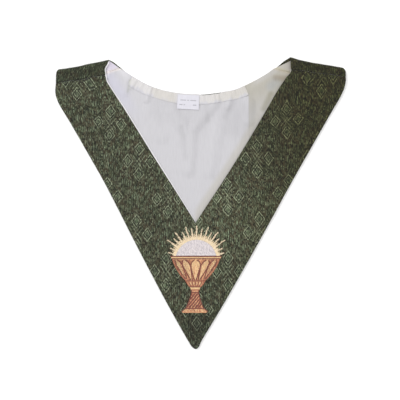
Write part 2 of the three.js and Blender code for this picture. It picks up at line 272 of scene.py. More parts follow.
LINING_TROUGHS = (
    Crease(-30, 118, -24, 70, -0.35, 7),
    Crease(8, 160, 12, 128, -0.3, 7),
    Crease(52, 156, 38, 134, -0.35, 7),
    Crease(-109, 190, -113, 172, -0.35, 5),
)


def creased(ridges: Sequence[Crease], troughs: Sequence[Crease], points: Array) -> Array:
    """Adds up creases at plan points.

    Args:
        ridges: ridges, where the highest counts.
        troughs: troughs, where the deepest counts.
        points: plan points.
    Returns:
        The height of each point over the plain cloth.
    """
    high = np.max([crease.lift(points) for crease in ridges], axis=0)
    low = np.min([crease.lift(points) for crease in troughs], axis=0)
    return high + low


@dataclass(frozen=True)
class Shoulder:
    """A shoulder's fold line, the round of its outer corner and the front seam that it is sewn to.

    The fold line sags by sags, evenly spaced along it, and the front seam waves by waves at its knots.
    """

    side: Side
    outer: tuple[float, float]
    inner: tuple[float, float]
    round: float
    place: int
    lining_outer: tuple[float, float]
    lining_inner: tuple[float, float]
    knots: tuple[float, ...]
    waves: tuple[float, ...]
    sags: tuple[float, ...]

    def from_fold(self, points: Array) -> Array:
        """Gives the distance of plan points from the fold line.

        Args:
            points: plan points.
        Returns:
            Their distances.
        """
        start = np.array(self.outer)
        way = np.array(self.inner) - start
        away = points - start
        return np.abs(way[0] * away[..., 1] - way[1] * away[..., 0]) / np.hypot(*way)

    def length(self) -> float:
        """Gives the length of the fold line."""
        return math.dist(self.outer, self.inner)

    def on_fold(self, share: Array) -> Array:
        """Gives points of the fold line, with the outer corner rounded.

        Args:
            share: shares of the line, 0 at its outer end.
        Returns:
            One point for each share.
        """
        seam = self.seam(share)
        point = np.array(self.outer) + share[:, None] * (np.array(self.inner) - self.outer)
        point[:, 1] -= wave(share, np.linspace(0, 1, len(self.sags)), self.sags)
        near = np.clip(share * self.length() / self.round, 0, 1)
        cut = self.round * (1 - np.sqrt(1 - (1 - near) ** 2))
        way = seam - point
        return point + way / np.linalg.norm(way, axis=1)[:, None] * cut[:, None]

    def seam(self, share: Array) -> Array:
        """Gives points of the straight line that the front seam follows."""
        outer, inner = OUTER.at(self.place)[0], BAND.at(self.place)[0]
        return outer + share[:, None] * (inner - outer)

    def to_seam(self, share: Array) -> Array:
        """Gives the way from the fold to the front seam."""
        return self.seam(share) - self.on_fold(share)

    def to_back(self, share: Array) -> Array:
        """Gives the way from the fold down the back."""
        outer, neck = OUTER.at(self.place)[0], NECK.at(self.place)[0]
        return outer + share[:, None] * (neck - outer) - self.on_fold(share)

    def drift(self, points: Array) -> Array:
        """Moves plan points near the front seam, so that its line runs a little unevenly.

        Args:
            points: plan points of the front.
        Returns:
            The moved points.
        """
        outer, inner = OUTER.at(self.place)[0], BAND.at(self.place)[0]
        way = inner - outer
        along = way / np.hypot(*way)
        across = np.array([along[1], -along[0]])
        across = across if across[1] < 0 else -across
        share = np.clip((points - outer) @ along / np.hypot(*way), 0, 1)
        away = np.abs((points - outer) @ across) / SEAM_REACH
        down = wave(share, self.knots, self.waves)
        return points + across * (down * (1 - np.minimum(away, 1) ** 2) ** 2)[..., None]


SHOULDERS = {
    Side.LEFT: Shoulder(
        Side.LEFT,
        outer=(-223.7, 207.8),
        inner=(-142.0, 223.3),
        round=4.6,
        place=0,
        lining_outer=(-221.6, 176.0),
        lining_inner=(-125.6, 209.9),
        knots=(0, 0.22, 0.43, 0.67, 0.79, 1),
        waves=(0, -0.3, 1.1, 0.9, -0.5, 0),
        sags=(0, 0.9, 1.35, 0.5, 0.6, 0),
    ),
    Side.RIGHT: Shoulder(
        Side.RIGHT,
        outer=(224.6, 210.2),
        inner=(138.6, 227.2),
        round=6.2,
        place=LAST,
        lining_outer=(223.0, 181.0),
        lining_inner=(114.6, 209.9),
        knots=(0, 0.28, 0.55, 0.77, 1),
        waves=(0, -1.5, -1.2, -2.4, -1.7),
        sags=(0, 0.5, 1.1, 1.7, 1.5, 0),
    ),
}


@dataclass(frozen=True)
class Nudge:
    """A spot of an inner edge that is eased sideways."""

    x: float
    y: float
    aside: float
    reach: float

    def way(self, points: Array) -> Array:
        """Gives how far plan points move."""
        away = np.hypot(points[..., 0] - self.x, points[..., 1] - self.y) / self.reach
        return (1 - np.minimum(away, 1) ** 2)[..., None] ** 2 * np.array([self.aside, 0.0])


@dataclass(frozen=True)
class Draw:
    """How far the cloth's figure is drawn aside and up along one arm."""

    side: Side
    heights: tuple[float, ...]
    aside: tuple[float, ...]
    up: tuple[float, ...]
    slant: tuple[float, ...]
    corner: tuple[float, float]
    axis: float

    def way(self, points: Array) -> Array:
        """Gives how far the figure has moved at plan points.

        Args:
            points: plan points.
        Returns:
            The shift at each point, aside and up.
        """
        x, y = np.abs(points[..., 0]), points[..., 1]
        inside = smooth(0, 55, self.side.value * (points[..., 0] - MIDDLE_X))
        outwards = (x - self.axis - 0.78 * y) * wave(y, self.heights, self.slant)
        aside = wave(y, self.heights, self.aside)
        up = wave(y, self.heights, self.up) + outwards
        outer = smooth(160, 182, x) * smooth(120, 150, y)
        way = np.stack([aside, up], axis=-1) + outer[..., None] * np.array(self.corner)
        return way * inside[..., None]


NUDGES = (
    Nudge(-150.3, 198.6, aside=1.9, reach=12.0),
    Nudge(-147.6, 209.0, aside=-2.0, reach=10.0),
    Nudge(137.5, 201.5, aside=2.0, reach=9.0),
)
DRAWS = (
    Draw(
        Side.LEFT,
        heights=(-106, -60, 5, 65, 122, 170),
        aside=(0, 1, 3.7, 6.1, 9.0, 10.8),
        up=(0, -2, -7.9, -7.4, -7.4, -11),
        slant=(0, 0, 0.07, 0.03, 0.135, 0),
        corner=(-5.0, 10.0),
        axis=44.0,
    ),
    Draw(
        Side.RIGHT,
        heights=(-106, -30, 0, 75, 122, 150, 176),
        aside=(0, 1.4, -0.4, -2.8, -4.4, -4.6, -4.0),
        up=(0, -1.4, -4.6, -3.2, -2.8, -4.3, 1.8),
        slant=(0, 0.03, 0.1, 0.03, 0.17, 0.12, 0.0),
        corner=(5.4, 2.0),
        axis=32.0,
    ),
)


def eased(points: Array) -> Array:
    """Moves plan points of the front along with its seams and inner corners.

    Args:
        points: plan points.
    Returns:
        The moved points.
    """
    for shoulder in SHOULDERS.values():
        points = shoulder.drift(points)
    return points + sum(nudge.way(points) for nudge in NUDGES)


def shoulder_of(points: Array) -> Array:
    """Tells which plan points belong to the left shoulder."""
    return points[..., 0] < 0


def front_top(points: Array) -> Array:
    """Gives the upper face of the front at plan points.

    Args:
        points: plan points.
    Returns:
        Heights over the surface below, with the rise to each fold, creases and a slight waviness.
    """
    left = SHOULDERS[Side.LEFT].from_fold(points)
    right = SHOULDERS[Side.RIGHT].from_fold(points)
    away = np.clip((np.where(shoulder_of(points), left, right) - FOLD_REACH) / FOLD_EASE, 0, 1)
    rise = (1 + np.cos(math.pi * away)) / 2
    x, y = points[..., 0], points[..., 1]
    waviness = 0.16 * np.sin(0.047 * x + 0.031 * y + 1.0) * np.sin(0.052 * y - 0.023 * x + 0.4)
    waviness = (waviness + 0.06 * np.sin(0.13 * x - 0.08 * y)) * (1 - rise)
    plain = FRONT_TOP + (FOLD_HEIGHT - FRONT_TOP) * rise
    return plain + creased(BAND_RIDGES, BAND_TROUGHS, points) + waviness


def lining_relief(points: Array) -> Array:
    """Gives the creases and fine ripples of the back's lining at plan points.

    Args:
        points: plan points.
    Returns:
        Heights over the plain lining, which has ripples only where it shows in the neck.
    """
    inside = over_edge(BAND, points, 0, LAST, 160) * EDGE_SLANT
    shown = smooth(2, 12, inside)
    x, y = points[..., 0], points[..., 1]
    swell = 0.55 + 0.45 * np.sin(0.09 * x + 0.02 * y)
    ripple = 0.16 * np.sin(0.42 * x + 1.3 * np.sin(0.03 * y + 0.5)) * swell
    ripple = ripple + 0.2 * np.sin(0.075 * x + 0.04 * y + 2.0) * np.sin(0.05 * y + 0.3)
    creases = 1.25 * creased(LINING_RIDGES, LINING_TROUGHS, points) * smooth(-3, 4, inside)
    return creases + (0.25 + ripple) * shown


# ---- rows ----------------------------------------------------------------------------------------


@dataclass
class Row:
    """A line of cloth across a panel, from its outer edge (share 0) to its inner one (share 1)."""

    length: float
    low: float = 0.0
    high: float = 1.0

    def fitted(self, inset: float, ease: float) -> "Row":
        """Moves the outer end inwards by inset and the inner end onwards by ease.

        Args:
            inset: how far the outer end moves in.
            ease: how far the inner end moves on.
        Returns:
            The row itself.
        """
        self.low = inset / self.length
        self.high = 1 + ease / self.length
        self.length = self.length - inset + ease
        return self

    def shares(self, share: Array) -> Array:
        """Turns shares of the fitted row into shares of the whole one."""
        return self.low + share * (self.high - self.low)

    def points(self, share: Array, depth: Array) -> Array:
        """Gives points of the row, at depths under the garment's outside."""
        raise NotImplementedError

    def cut(self, share: Array) -> Array:
        """Gives the same points on the uncut cloth."""
        raise NotImplementedError


@dataclass
class FlatRow(Row):
    """A straight row between two plan points, of the front (facing up) or of the back (facing down)."""

    start: Array = field(default_factory=lambda: np.zeros(2))
    end: Array = field(default_factory=lambda: np.zeros(2))
    front: bool = True
    relief: Callable[[Array], Array] | None = None

    def plan(self, share: Array) -> Array:
        """Gives plan points of the row."""
        return self.start + self.shares(share)[:, None] * (self.end - self.start)

    def points(self, share: Array, depth: Array) -> Array:
        """Gives points of the row, at depths under the garment's outside.

        Args:
            share: shares of the row, 0 at its outer end.
            depth: depth of each point under the garment's outside.
        Returns:
            One point for each share.
        """
        plan = self.plan(share)
        if self.front:
            plan = eased(plan)
            return np.column_stack([plan, front_top(plan) - depth])
        lift = self.relief(plan) if self.relief else 0.0
        return np.column_stack([plan, depth + lift])

    def cut(self, share: Array) -> Array:
        """Gives the same points on the uncut cloth, which the front draws a little out of place."""
        plan = self.plan(share)
        return plan - sum(draw.way(plan) for draw in DRAWS) if self.front else plan


@dataclass
class RollRow(Row):
    """A row of the roll at a shoulder, at an angle from -90 degrees on the back to 90 on the front."""

    shoulder: Shoulder = SHOULDERS[Side.LEFT]
    angle: float = 0.0

    def points(self, share: Array, depth: Array) -> Array:
        """Gives points of the row, at depths under the garment's outside.

        Args:
            share: shares of the row, 0 at its outer end.
            depth: depth of each point under the garment's outside.
        Returns:
            One point for each share.
        """
        share = self.shares(share)
        fold = self.shoulder.on_fold(share)
        seam, back = self.shoulder.to_seam(share), self.shoulder.to_back(share)
        seam = seam / np.linalg.norm(seam, axis=1)[:, None]
        back = back / np.linalg.norm(back, axis=1)[:, None]
        inwards = back + (seam - back) * (1 + math.sin(self.angle)) / 2
        inwards = inwards / np.linalg.norm(inwards, axis=1)[:, None]
        half = front_top(fold + seam * FOLD_REACH) / 2
        reach = FOLD_REACH - (FOLD_REACH - depth) * math.cos(self.angle)
        plan = fold + inwards * reach[:, None]
        return np.column_stack([plan, half + (half - depth) * math.sin(self.angle)])

    def cut(self, share: Array) -> Array:
        """Gives the same points on the uncut cloth, measured round the roll."""
        fold = self.shoulder.on_fold(self.shares(share))
        return fold + np.array([0.0, ROLL_RADIUS * self.angle])


@dataclass
class StripRow(Row):
    """A row of the strip between the front seam (nearness 0) and the roll (nearness 1)."""

    shoulder: Shoulder = SHOULDERS[Side.LEFT]
    nearness: float = 0.0

    def reach(self, share: Array) -> Array:
        """Gives the distance of the row from the fold."""
        length = np.linalg.norm(self.shoulder.to_seam(share), axis=1) - GAP
        return length + (FOLD_REACH - length) * self.nearness

    def points(self, share: Array, depth: Array) -> Array:
        """Gives points of the row, at depths under the garment's outside.

        Args:
            share: shares of the row, 0 at its outer end.
            depth: depth of each point under the garment's outside.
        Returns:
            One point for each share.
        """
        share = self.shares(share)
        way = self.shoulder.to_seam(share)
        way = way / np.linalg.norm(way, axis=1)[:, None]
        plan = self.shoulder.on_fold(share) + way * self.reach(share)[:, None]
        plan = eased(plan)
        return np.column_stack([plan, front_top(plan) - depth])

    def cut(self, share: Array) -> Array:
        """Gives the same points on the uncut cloth, beyond the roll.

        Args:
            share: shares of the row, 0 at its outer end.
        Returns:
            One place on the cloth for each share.
        """
        share = self.shares(share)
        fold = self.shoulder.on_fold(share)
        return fold + np.column_stack([0 * share, ROLL_HALF + self.reach(share) - FOLD_REACH])


def row_places(first: float, last: float, pitch: float, rims: bool) -> Array:
    """Spaces rows evenly along the outer edge, closer at the ends where the cloth's rim is.

    Args:
        first, last: places of the first and last row.
        pitch: distance between rows.
        rims: whether the ends are rims of the cloth.
    Returns:
        The places of the rows.
    """
    fine = np.linspace(first, last, 4000)
    along = running_length(OUTER.at(fine))
    rim = np.array(RIM_STEPS[:-1]) if rims else np.zeros(0)
    start = RIM_STEPS[-1] if rims else 0.0
    middle = np.linspace(start, along[-1] - start, max(int(along[-1] / pitch), 2))
    return np.interp(np.concatenate([rim, middle, (along[-1] - rim)[::-1]]), along, fine)


def over_fold(shoulder: Shoulder, rolls: int = 18) -> list[Row]:
    """Lays rows from the front seam up to the roll, round it and down to the back.

    Args:
        shoulder: the shoulder that they pass over.
        rolls: rows round the roll.
    Returns:
        The rows, front seam first.
    """
    length = shoulder.length()
    near = [step / STRIP_DEPTH for step in RIM_STEPS] + list(np.linspace(0.07, 1, 12)[1:-1])
    rows: list[Row] = [StripRow(length, shoulder=shoulder, nearness=value) for value in near]
    for step in range(rolls + 1):
        rows.append(RollRow(length, shoulder=shoulder, angle=math.pi / 2 - math.pi * step / rolls))
    return rows


# ---- meshes --------------------------------------------------------------------------------------


def deselect() -> None:
    """Leaves nothing selected or active."""
    bpy.ops.object.select_all(action="DESELECT")
    bpy.context.view_layer.objects.active = None


def add_object(name: str, vertices: Array, faces: Sequence[Sequence[int]]) -> bpy.types.Object:
    """Makes a mesh object at the origin, shaded smooth.

    Args:
        name: its name.
        vertices: points in millimetres.
        faces: corner indices of each face.
    Returns:
        The new object.
    """
    mesh = bpy.data.meshes.new(name)
    mesh.from_pydata((np.asarray(vertices) * MM).tolist(), [], [list(map(int, face)) for face in faces])
    mesh.update()
    mesh.shade_smooth()
    made = bpy.data.objects.new(name, mesh)
    bpy.context.scene.collection.objects.link(made)
    return made


def paint(made: bpy.types.Object, cut: Array, tone: Array) -> None:
    """Gives a mesh its place on the uncut cloth as a UV map, and its tone as an attribute.

    Args:
        made: the object.
        cut: place of each vertex on the cloth, in millimetres.
        tone: colour factor of each vertex, which may have a fourth part for the figure's strength.
    """
    mesh = made.data
    corners = np.zeros(len(mesh.loops), dtype=np.int32)
    mesh.loops.foreach_get("vertex_index", corners)
    layer = mesh.uv_layers.new(name="cut")
    layer.uv.foreach_set("vector", (cut[corners] * MM).astype(np.float32).ravel())
    colours = np.column_stack([tone, np.ones(len(tone))])[:, :4].astype(np.float32)
    attribute = mesh.color_attributes.new(name="tone", type="FLOAT_COLOR", domain="POINT")
    attribute.data.foreach_set("color", colours.ravel())


Tone = Callable[[Array, Array], Array]
Lift = Callable[[Array, Array, Array], Array]


def plain_tone(points: Array, to_end: Array) -> Array:
    """Gives the same tone everywhere."""
    return np.ones((*points.shape[:-1], 3))


@dataclass
class Wall:
    """A thin closed sheet between two skins of the same rows, with rounded rims.

    depth and thickness lie under the garment's outside. lift moves the outside by the distance along the
    panel and from its two edges. tone gives a colour factor from the point and the distance to an end.
    """

    name: str
    rows: list[Row]
    count: int
    depth: float
    thickness: float
    lift: Lift | None = None
    tone: Tone = plain_tone

    def shares(self, row: Row) -> Array:
        """Spaces the columns of a row, closer at both rims.

        Args:
            row: the row.
        Returns:
            Its shares, 0 at its outer edge.
        """
        rim = np.array(RIM_STEPS[:-1])
        middle = np.linspace(RIM_STEPS[-1], row.length - RIM_STEPS[-1], self.count)
        return np.concatenate([rim, middle, (row.length - rim)[::-1]]) / row.length

    def rim(self, away: Array) -> Array:
        """Gives how much a skin sinks towards the middle of the cloth near a rim."""
        near = 1 - np.clip(away / RIM_ROUND, 0, 1)
        return self.thickness * RIM_SINK * (1 - np.sqrt(1 - near**2))

    def build(self) -> bpy.types.Object:
        """Makes the sheet.

        Returns:
            The new object.
        """
        shares = [self.shares(row) for row in self.rows]
        middle = self.depth + self.thickness / 2
        core = np.array([row.points(s, np.full(len(s), middle)) for row, s in zip(self.rows, shares)])
        along = running_length(core[:, core.shape[1] // 2])
        to_end = np.minimum(along, along[-1] - along)[:, None] * np.ones(core.shape[1])
        lengths = np.array([row.length for row in self.rows])[:, None]
        outer = np.array(shares) * lengths
        inner = lengths - outer
        sunk = np.maximum(self.rim(np.minimum(outer, inner)), self.rim(to_end))
        raised = self.lift(along[:, None] * np.ones(outer.shape), outer, inner) if self.lift else 0 * outer
        upper = self.depth + sunk - raised
        lower = self.depth + self.thickness - sunk
        lower = np.maximum(lower, upper + THINNEST)
        skins = []
        for skin in (upper, lower):
            skins.append(np.array([row.points(s, d) for row, s, d in zip(self.rows, shares, skin)]))
        cut = np.array([row.cut(s) for row, s in zip(self.rows, shares)])
        vertices = np.concatenate([skin.reshape(-1, 3) for skin in skins])
        made = add_object(self.name, vertices, self.faces(vertices, *core.shape[:2]))
        tones = [self.tone(skin, to_end) for skin in skins]
        tone = np.concatenate([part.reshape(-1, part.shape[-1]) for part in tones])
        paint(made, np.concatenate([cut.reshape(-1, 2)] * 2), tone)
        return made

    def faces(self, vertices: Array, across: int, columns: int) -> Array:
        """Joins both skins and their rims into one closed surface that faces outwards.

        Args:
            vertices: all points, the first skin before the second.
            across: number of rows.
            columns: points in a row.
        Returns:
            The corners of each face.
        """
        size = across * columns
        grid = np.arange(size).reshape(across, columns)
        a, b, c, d = grid[:-1, :-1], grid[1:, :-1], grid[1:, 1:], grid[:-1, 1:]
        first = np.stack([a, b, c, d], axis=-1).reshape(-1, 4)
        second = first[:, ::-1] + size
        loop = np.concatenate([grid[0, :-1], grid[:-1, -1], grid[-1, :0:-1], grid[:0:-1, 0]])
        after = np.roll(loop, -1)
        rim = np.stack([loop, after, after + size, loop + size], axis=-1)
        faces = np.concatenate([first, second, rim])
        corner = vertices[faces[:, 0]]
        volume = 0.0
        for one, two in ((1, 2), (2, 3)):
            normal = np.cross(vertices[faces[:, one]], vertices[faces[:, two]])
            volume += np.einsum("ij,ij->", corner, normal)
        return faces if volume > 0 else faces[:, ::-1]


# ---- shader nodes --------------------------------------------------------------------------------


class Wire:
    """An output socket with arithmetic, so that a pattern reads as a formula."""

    def __init__(self, board: "Board", socket: bpy.types.NodeSocket) -> None:
        """Keeps the socket and the tree that it belongs to."""
        self.board = board
        self.socket = socket

    def math(self, operation: str, *others: Number) -> "Wire":
        """Puts the value through a Math node."""
        return self.board.node("ShaderNodeMath", (self, *others), operation=operation)

    def __add__(self, other: Number) -> "Wire":
        """Adds."""
        return self.math("ADD", other)

    def __sub__(self, other: Number) -> "Wire":
        """Subtracts."""
        return self.math("SUBTRACT", other)

    def __mul__(self, other: Number) -> "Wire":
        """Multiplies."""
        return self.math("MULTIPLY", other)

    def __truediv__(self, other: Number) -> "Wire":
        """Divides."""
        return self.math("DIVIDE", other)

    def __abs__(self) -> "Wire":
        """Drops the sign."""
        return self.math("ABSOLUTE")

    def step(self, low: float, high: float) -> "Wire":
        """Gives a soft step from 0 at low to 1 at high.

        Args:
            low: where the step starts.
            high: where it is full.
        Returns:
            The step.
        """
        node = self.board.tree.nodes.new("ShaderNodeMapRange")
        node.interpolation_type = "SMOOTHSTEP"
        for slot, value in zip(node.inputs, (self, low, high, 0.0, 1.0)):
            self.board.feed(slot, value)
        return Wire(self.board, node.outputs[0])

    def line(self, centre: Number, width: float) -> "Wire":
        """Gives 1 on a line of the value, fading out over its width."""
        return abs(self - centre).step(width, width * 0.35)


class Board:
    """A node tree that is being wired."""

    def __init__(self, tree: bpy.types.NodeTree) -> None:
        """Keeps the tree."""
        self.tree = tree

    def feed(self, slot: bpy.types.NodeSocket, value: object) -> None:
        """Links a wire to a socket, or sets the socket to a plain value.

        Args:
            slot: the socket.
            value: a wire, a plain value, or None to leave the socket.
        """
        if isinstance(value, Wire):
            self.tree.links.new(value.socket, slot)
        elif value is not None:
            slot.default_value = value

    def node(
        self, kind: str, inputs: Sequence[object] = (), output: int | str = 0, **settings: object
    ) -> Wire:
        """Adds a node.

        Args:
            kind: its type.
            inputs: values for its first sockets in order, None to leave one.
            output: the output to return.
            settings: its own settings; a dict named named gives sockets by name.
        Returns:
            The chosen output.
        """
        made = self.tree.nodes.new(kind)
        named = settings.pop("named", {})
        for key, value in settings.items():
            setattr(made, key, value)
        for slot, value in zip(made.inputs, inputs):
            self.feed(slot, value)
        for key, value in named.items():
            self.feed(made.inputs[key], value)
        return Wire(self, made.outputs[output])

    def split(self, vector: Wire) -> tuple[Wire, Wire]:
        """Gives the first two parts of a vector.

        Args:
            vector: the vector.
        Returns:
            The two parts.
        """
        made = self.tree.nodes.new("ShaderNodeSeparateXYZ")
        self.feed(made.inputs[0], vector)
        return Wire(self, made.outputs[0]), Wire(self, made.outputs[1])

    def join(self, x: Number, y: Number, z: Number = 0.0) -> Wire:
        """Makes a vector of parts."""
        return self.node("ShaderNodeCombineXYZ", (x, y, z))

    def noise(self, vector: Wire, scale: float, detail: float = 2.0) -> Wire:
        """Gives smooth noise from about 0.3 to 0.7."""
        return self.node("ShaderNodeTexNoise", named={"Vector": vector, "Scale": scale, "Detail": detail})

    def chance(self, vector: Wire) -> Wire:
        """Gives an even random value for each vector."""
        return self.node("ShaderNodeTexWhiteNoise", named={"Vector": vector}, noise_dimensions="2D")

    def mix(self, factor: Number, first: object, second: object, blend: str = "MIX") -> Wire:
        """Mixes two colours.

        Args:
            factor: share of the second colour.
            first, second: both colours.
            blend: how they are blended.
        Returns:
            The mixed colour.
        """
        made = self.tree.nodes.new("ShaderNodeMix")
        made.data_type = "RGBA"
        made.blend_type = blend
        for index, value in ((0, factor), (6, first), (7, second)):
            self.feed(made.inputs[index], value)
        return Wire(self, made.outputs[2])

    def bump(self, height: Wire, strength: float, distance: float) -> Wire:
        """Turns a height into a normal."""
        named = {"Strength": strength, "Distance": distance, "Height": height}
        return self.node("ShaderNodeBump", named=named)


@dataclass
class Group:
    """A shader node group with named inputs and outputs, built once."""

    name: str
    inputs: dict[str, str]
    outputs: tuple[str, ...]
    wiring: Callable[[Board, dict[str, Wire]], dict[str, Wire]]

    def tree(self) -> bpy.types.NodeTree:
        """Finds the group, or makes it.

        Returns:
            The group's node tree.
        """
        found = bpy.data.node_groups.get(self.name)
        if found:
            return found
        tree = bpy.data.node_groups.new(self.name, "ShaderNodeTree")
        for name, kind in self.inputs.items():
            tree.interface.new_socket(name=name, in_out="INPUT", socket_type=kind)
        for name in self.outputs:
            tree.interface.new_socket(name=name, in_out="OUTPUT", socket_type="NodeSocketFloat")
        board = Board(tree)
        start = tree.nodes.new("NodeGroupInput")
        end = tree.nodes.new("NodeGroupOutput")
        wires = {name: Wire(board, start.outputs[name]) for name in self.inputs}
        for name, wire in self.wiring(board, wires).items():
            tree.links.new(wire.socket, end.inputs[name])
        return tree

    def place(self, board: Board, values: dict[str, object]) -> dict[str, Wire]:
        """Puts the group in a material.

        Args:
            board: the material's tree.
            values: a value or wire for each input.
        Returns:
            Its outputs by name.
        """
        made = board.tree.nodes.new("ShaderNodeGroup")
        made.node_tree = self.tree()
        for name, value in values.items():
            board.feed(made.inputs[name], value)
        return {name: Wire(board, made.outputs[name]) for name in self.outputs}


def weave_wiring(board: Board, given: dict[str, Wire]) -> dict[str, Wire]:
    """Wires a plain weave: threads over and under one another.

    Args:
        board: the group's tree.
        given: the cloth's place, and the pitch of its warp and weft.
    Returns:
        The height of the threads, and slubs along them.
    """
    u, v = board.split(given["Place"])
    across = (u / given["Warp"]).math("MULTIPLY", math.pi)
    down = (v / given["Weft"]).math("MULTIPLY", math.pi)
    height = across.math("SINE") * down.math("SINE")
    stretched = board.join(u / given["Warp"] * 0.4, v / given["Weft"] * 0.045)
    return {"Height": height * 0.5 + 0.5, "Slub": board.noise(stretched, 1.0, 3.0)}


WEAVE = Group(
    "plain_weave",
    {"Place": "NodeSocketVector", "Warp": "NodeSocketFloat", "Weft": "NodeSocketFloat"},
    ("Height", "Slub"),
    weave_wiring,
)


def lozenge_wiring(board: Board, given: dict[str, Wire]) -> dict[str, Wire]:
    """Wires the jacquard figure: clusters of four nested lozenges in a trellis of flame strokes.

    Args:
        board: the group's tree.
        given: the cloth's place in metres.
    Returns:
        The thin figure lines, the filled figure, the flame strokes between, and the shadow in each lozenge.
    """
    # Millimetres: the repeat, a lozenge's half width and height, the places of the four lozenges beside and
    # above their middle, the start of the repeat, and the flame strokes' pitch, length and zigzag.
    wide, tall = 96.0, 119.0
    half, high = 7.8, 10.9
    aside, above = 17.6, 21.0
    first_u, first_v = 6.0, 165.2
    stroke_pitch, stroke_length, zigzag = 3.3, 15.0, 48.0
    u, v = board.split(given["Place"])
    u = u * 1000.0 + first_u
    v = v * 1000.0 + first_v
    a, b = u / wide, v / tall
    x1 = (a + 0.5).math("FRACT") - 0.5
    y1 = (b + 0.5).math("FRACT") - 0.5
    x2 = a.math("FRACT") - 0.5
    y2 = b.math("FRACT") - 0.5
    first = (abs(x1) + abs(y1)).math("LESS_THAN", 0.5)
    cell_x = abs(x2 + (x1 - x2) * first)
    cell_y = abs(y2 + (y1 - y2) * first)
    x, y = cell_x * wide, cell_y * tall
    upright = x / half + abs(y - above) / high
    beside = abs(x - aside) / half + y / high
    near = upright.math("MINIMUM", beside)
    ring = x / half + y / high
    slant = abs(x / half - y / high)
    lines = near.line(1.0, 0.15) + near.line(0.52, 0.14) * 0.6
    strokes = slant.line(0.36, 0.12) * ring.step(2.3, 2.0) * near.step(1.12, 1.25) * 0.75
    crossing = ring.line(0.36, 0.14) * 0.5
    outside = ring.line(4.0, 0.16) * slant.step(1.3, 1.0) * 0.4
    lines = (lines + strokes + crossing + outside).math("MINIMUM", 1.0)
    fill = near.step(0.62, 0.4)
    shadow = near.line(0.77, 0.17)
    edge = (cell_x + cell_y).step(0.31, 0.39)
    column = u / stroke_pitch
    lot = board.chance(board.join(column.math("FLOOR"), 3.0))
    along = v / stroke_length + lot + abs((u / zigzag).math("FRACT") - 0.5) * 1.6
    length = abs(along.math("FRACT") - 0.5).step(0.36, 0.2)
    lit = board.chance(board.join(column.math("FLOOR"), along.math("FLOOR"))) * 0.8 + 0.2
    warp = abs(column.math("FRACT") - 0.5).step(0.34, 0.14)
    flame = length * warp * lit * (edge * 0.85 + 0.15)
    plus = cell_x.line(0.0, 0.012) * (cell_y - 0.5).line(0.0, 0.05)
    plus = plus + (cell_x - 0.5).line(0.0, 0.012) * cell_y.line(0.0, 0.05)
    flames = (flame + plus).math("MINIMUM", 1.0) * near.step(1.0, 1.2)
    return {"Lines": lines, "Fill": fill, "Flames": flames, "Shadow": shadow}


LOZENGES = Group(
    "lozenge_figure", {"Place": "NodeSocketVector"}, ("Lines", "Fill", "Flames", "Shadow"), lozenge_wiring
)


def start_material(name: str, roughness: float, **shader: object) -> tuple[bpy.types.Material, Board]:
    """Makes a material with its Principled shader set.

    Args:
        name: its name.
        roughness: roughness of the shader.
        shader: other plain values, named as the sockets with _ for a space.
    Returns:
        The material and its board.
    """
    material = bpy.data.materials.new(name)
    material.use_nodes = True
    board = Board(material.node_tree)
    bsdf = material.node_tree.nodes["Principled BSDF"]
    bsdf.inputs["Roughness"].default_value = roughness
    for key, value in shader.items():
        bsdf.inputs[key.replace("_", " ")].default_value = value
    return material, board


def finish_material(board: Board, colour: Wire, normal: Wire, rough: Wire | None = None) -> None:
    """Links colour, normal and roughness to the shader.

    Args:
        board: the material's tree.
        colour: base colour.
        normal: bumped normal.
        rough: roughness where it changes over the surface.
    """
    bsdf = board.tree.nodes["Principled BSDF"]
    board.feed(bsdf.inputs["Base Color"], colour)
    board.feed(bsdf.inputs["Normal"], normal)
    if rough:
        board.feed(bsdf.inputs["Roughness"], rough)


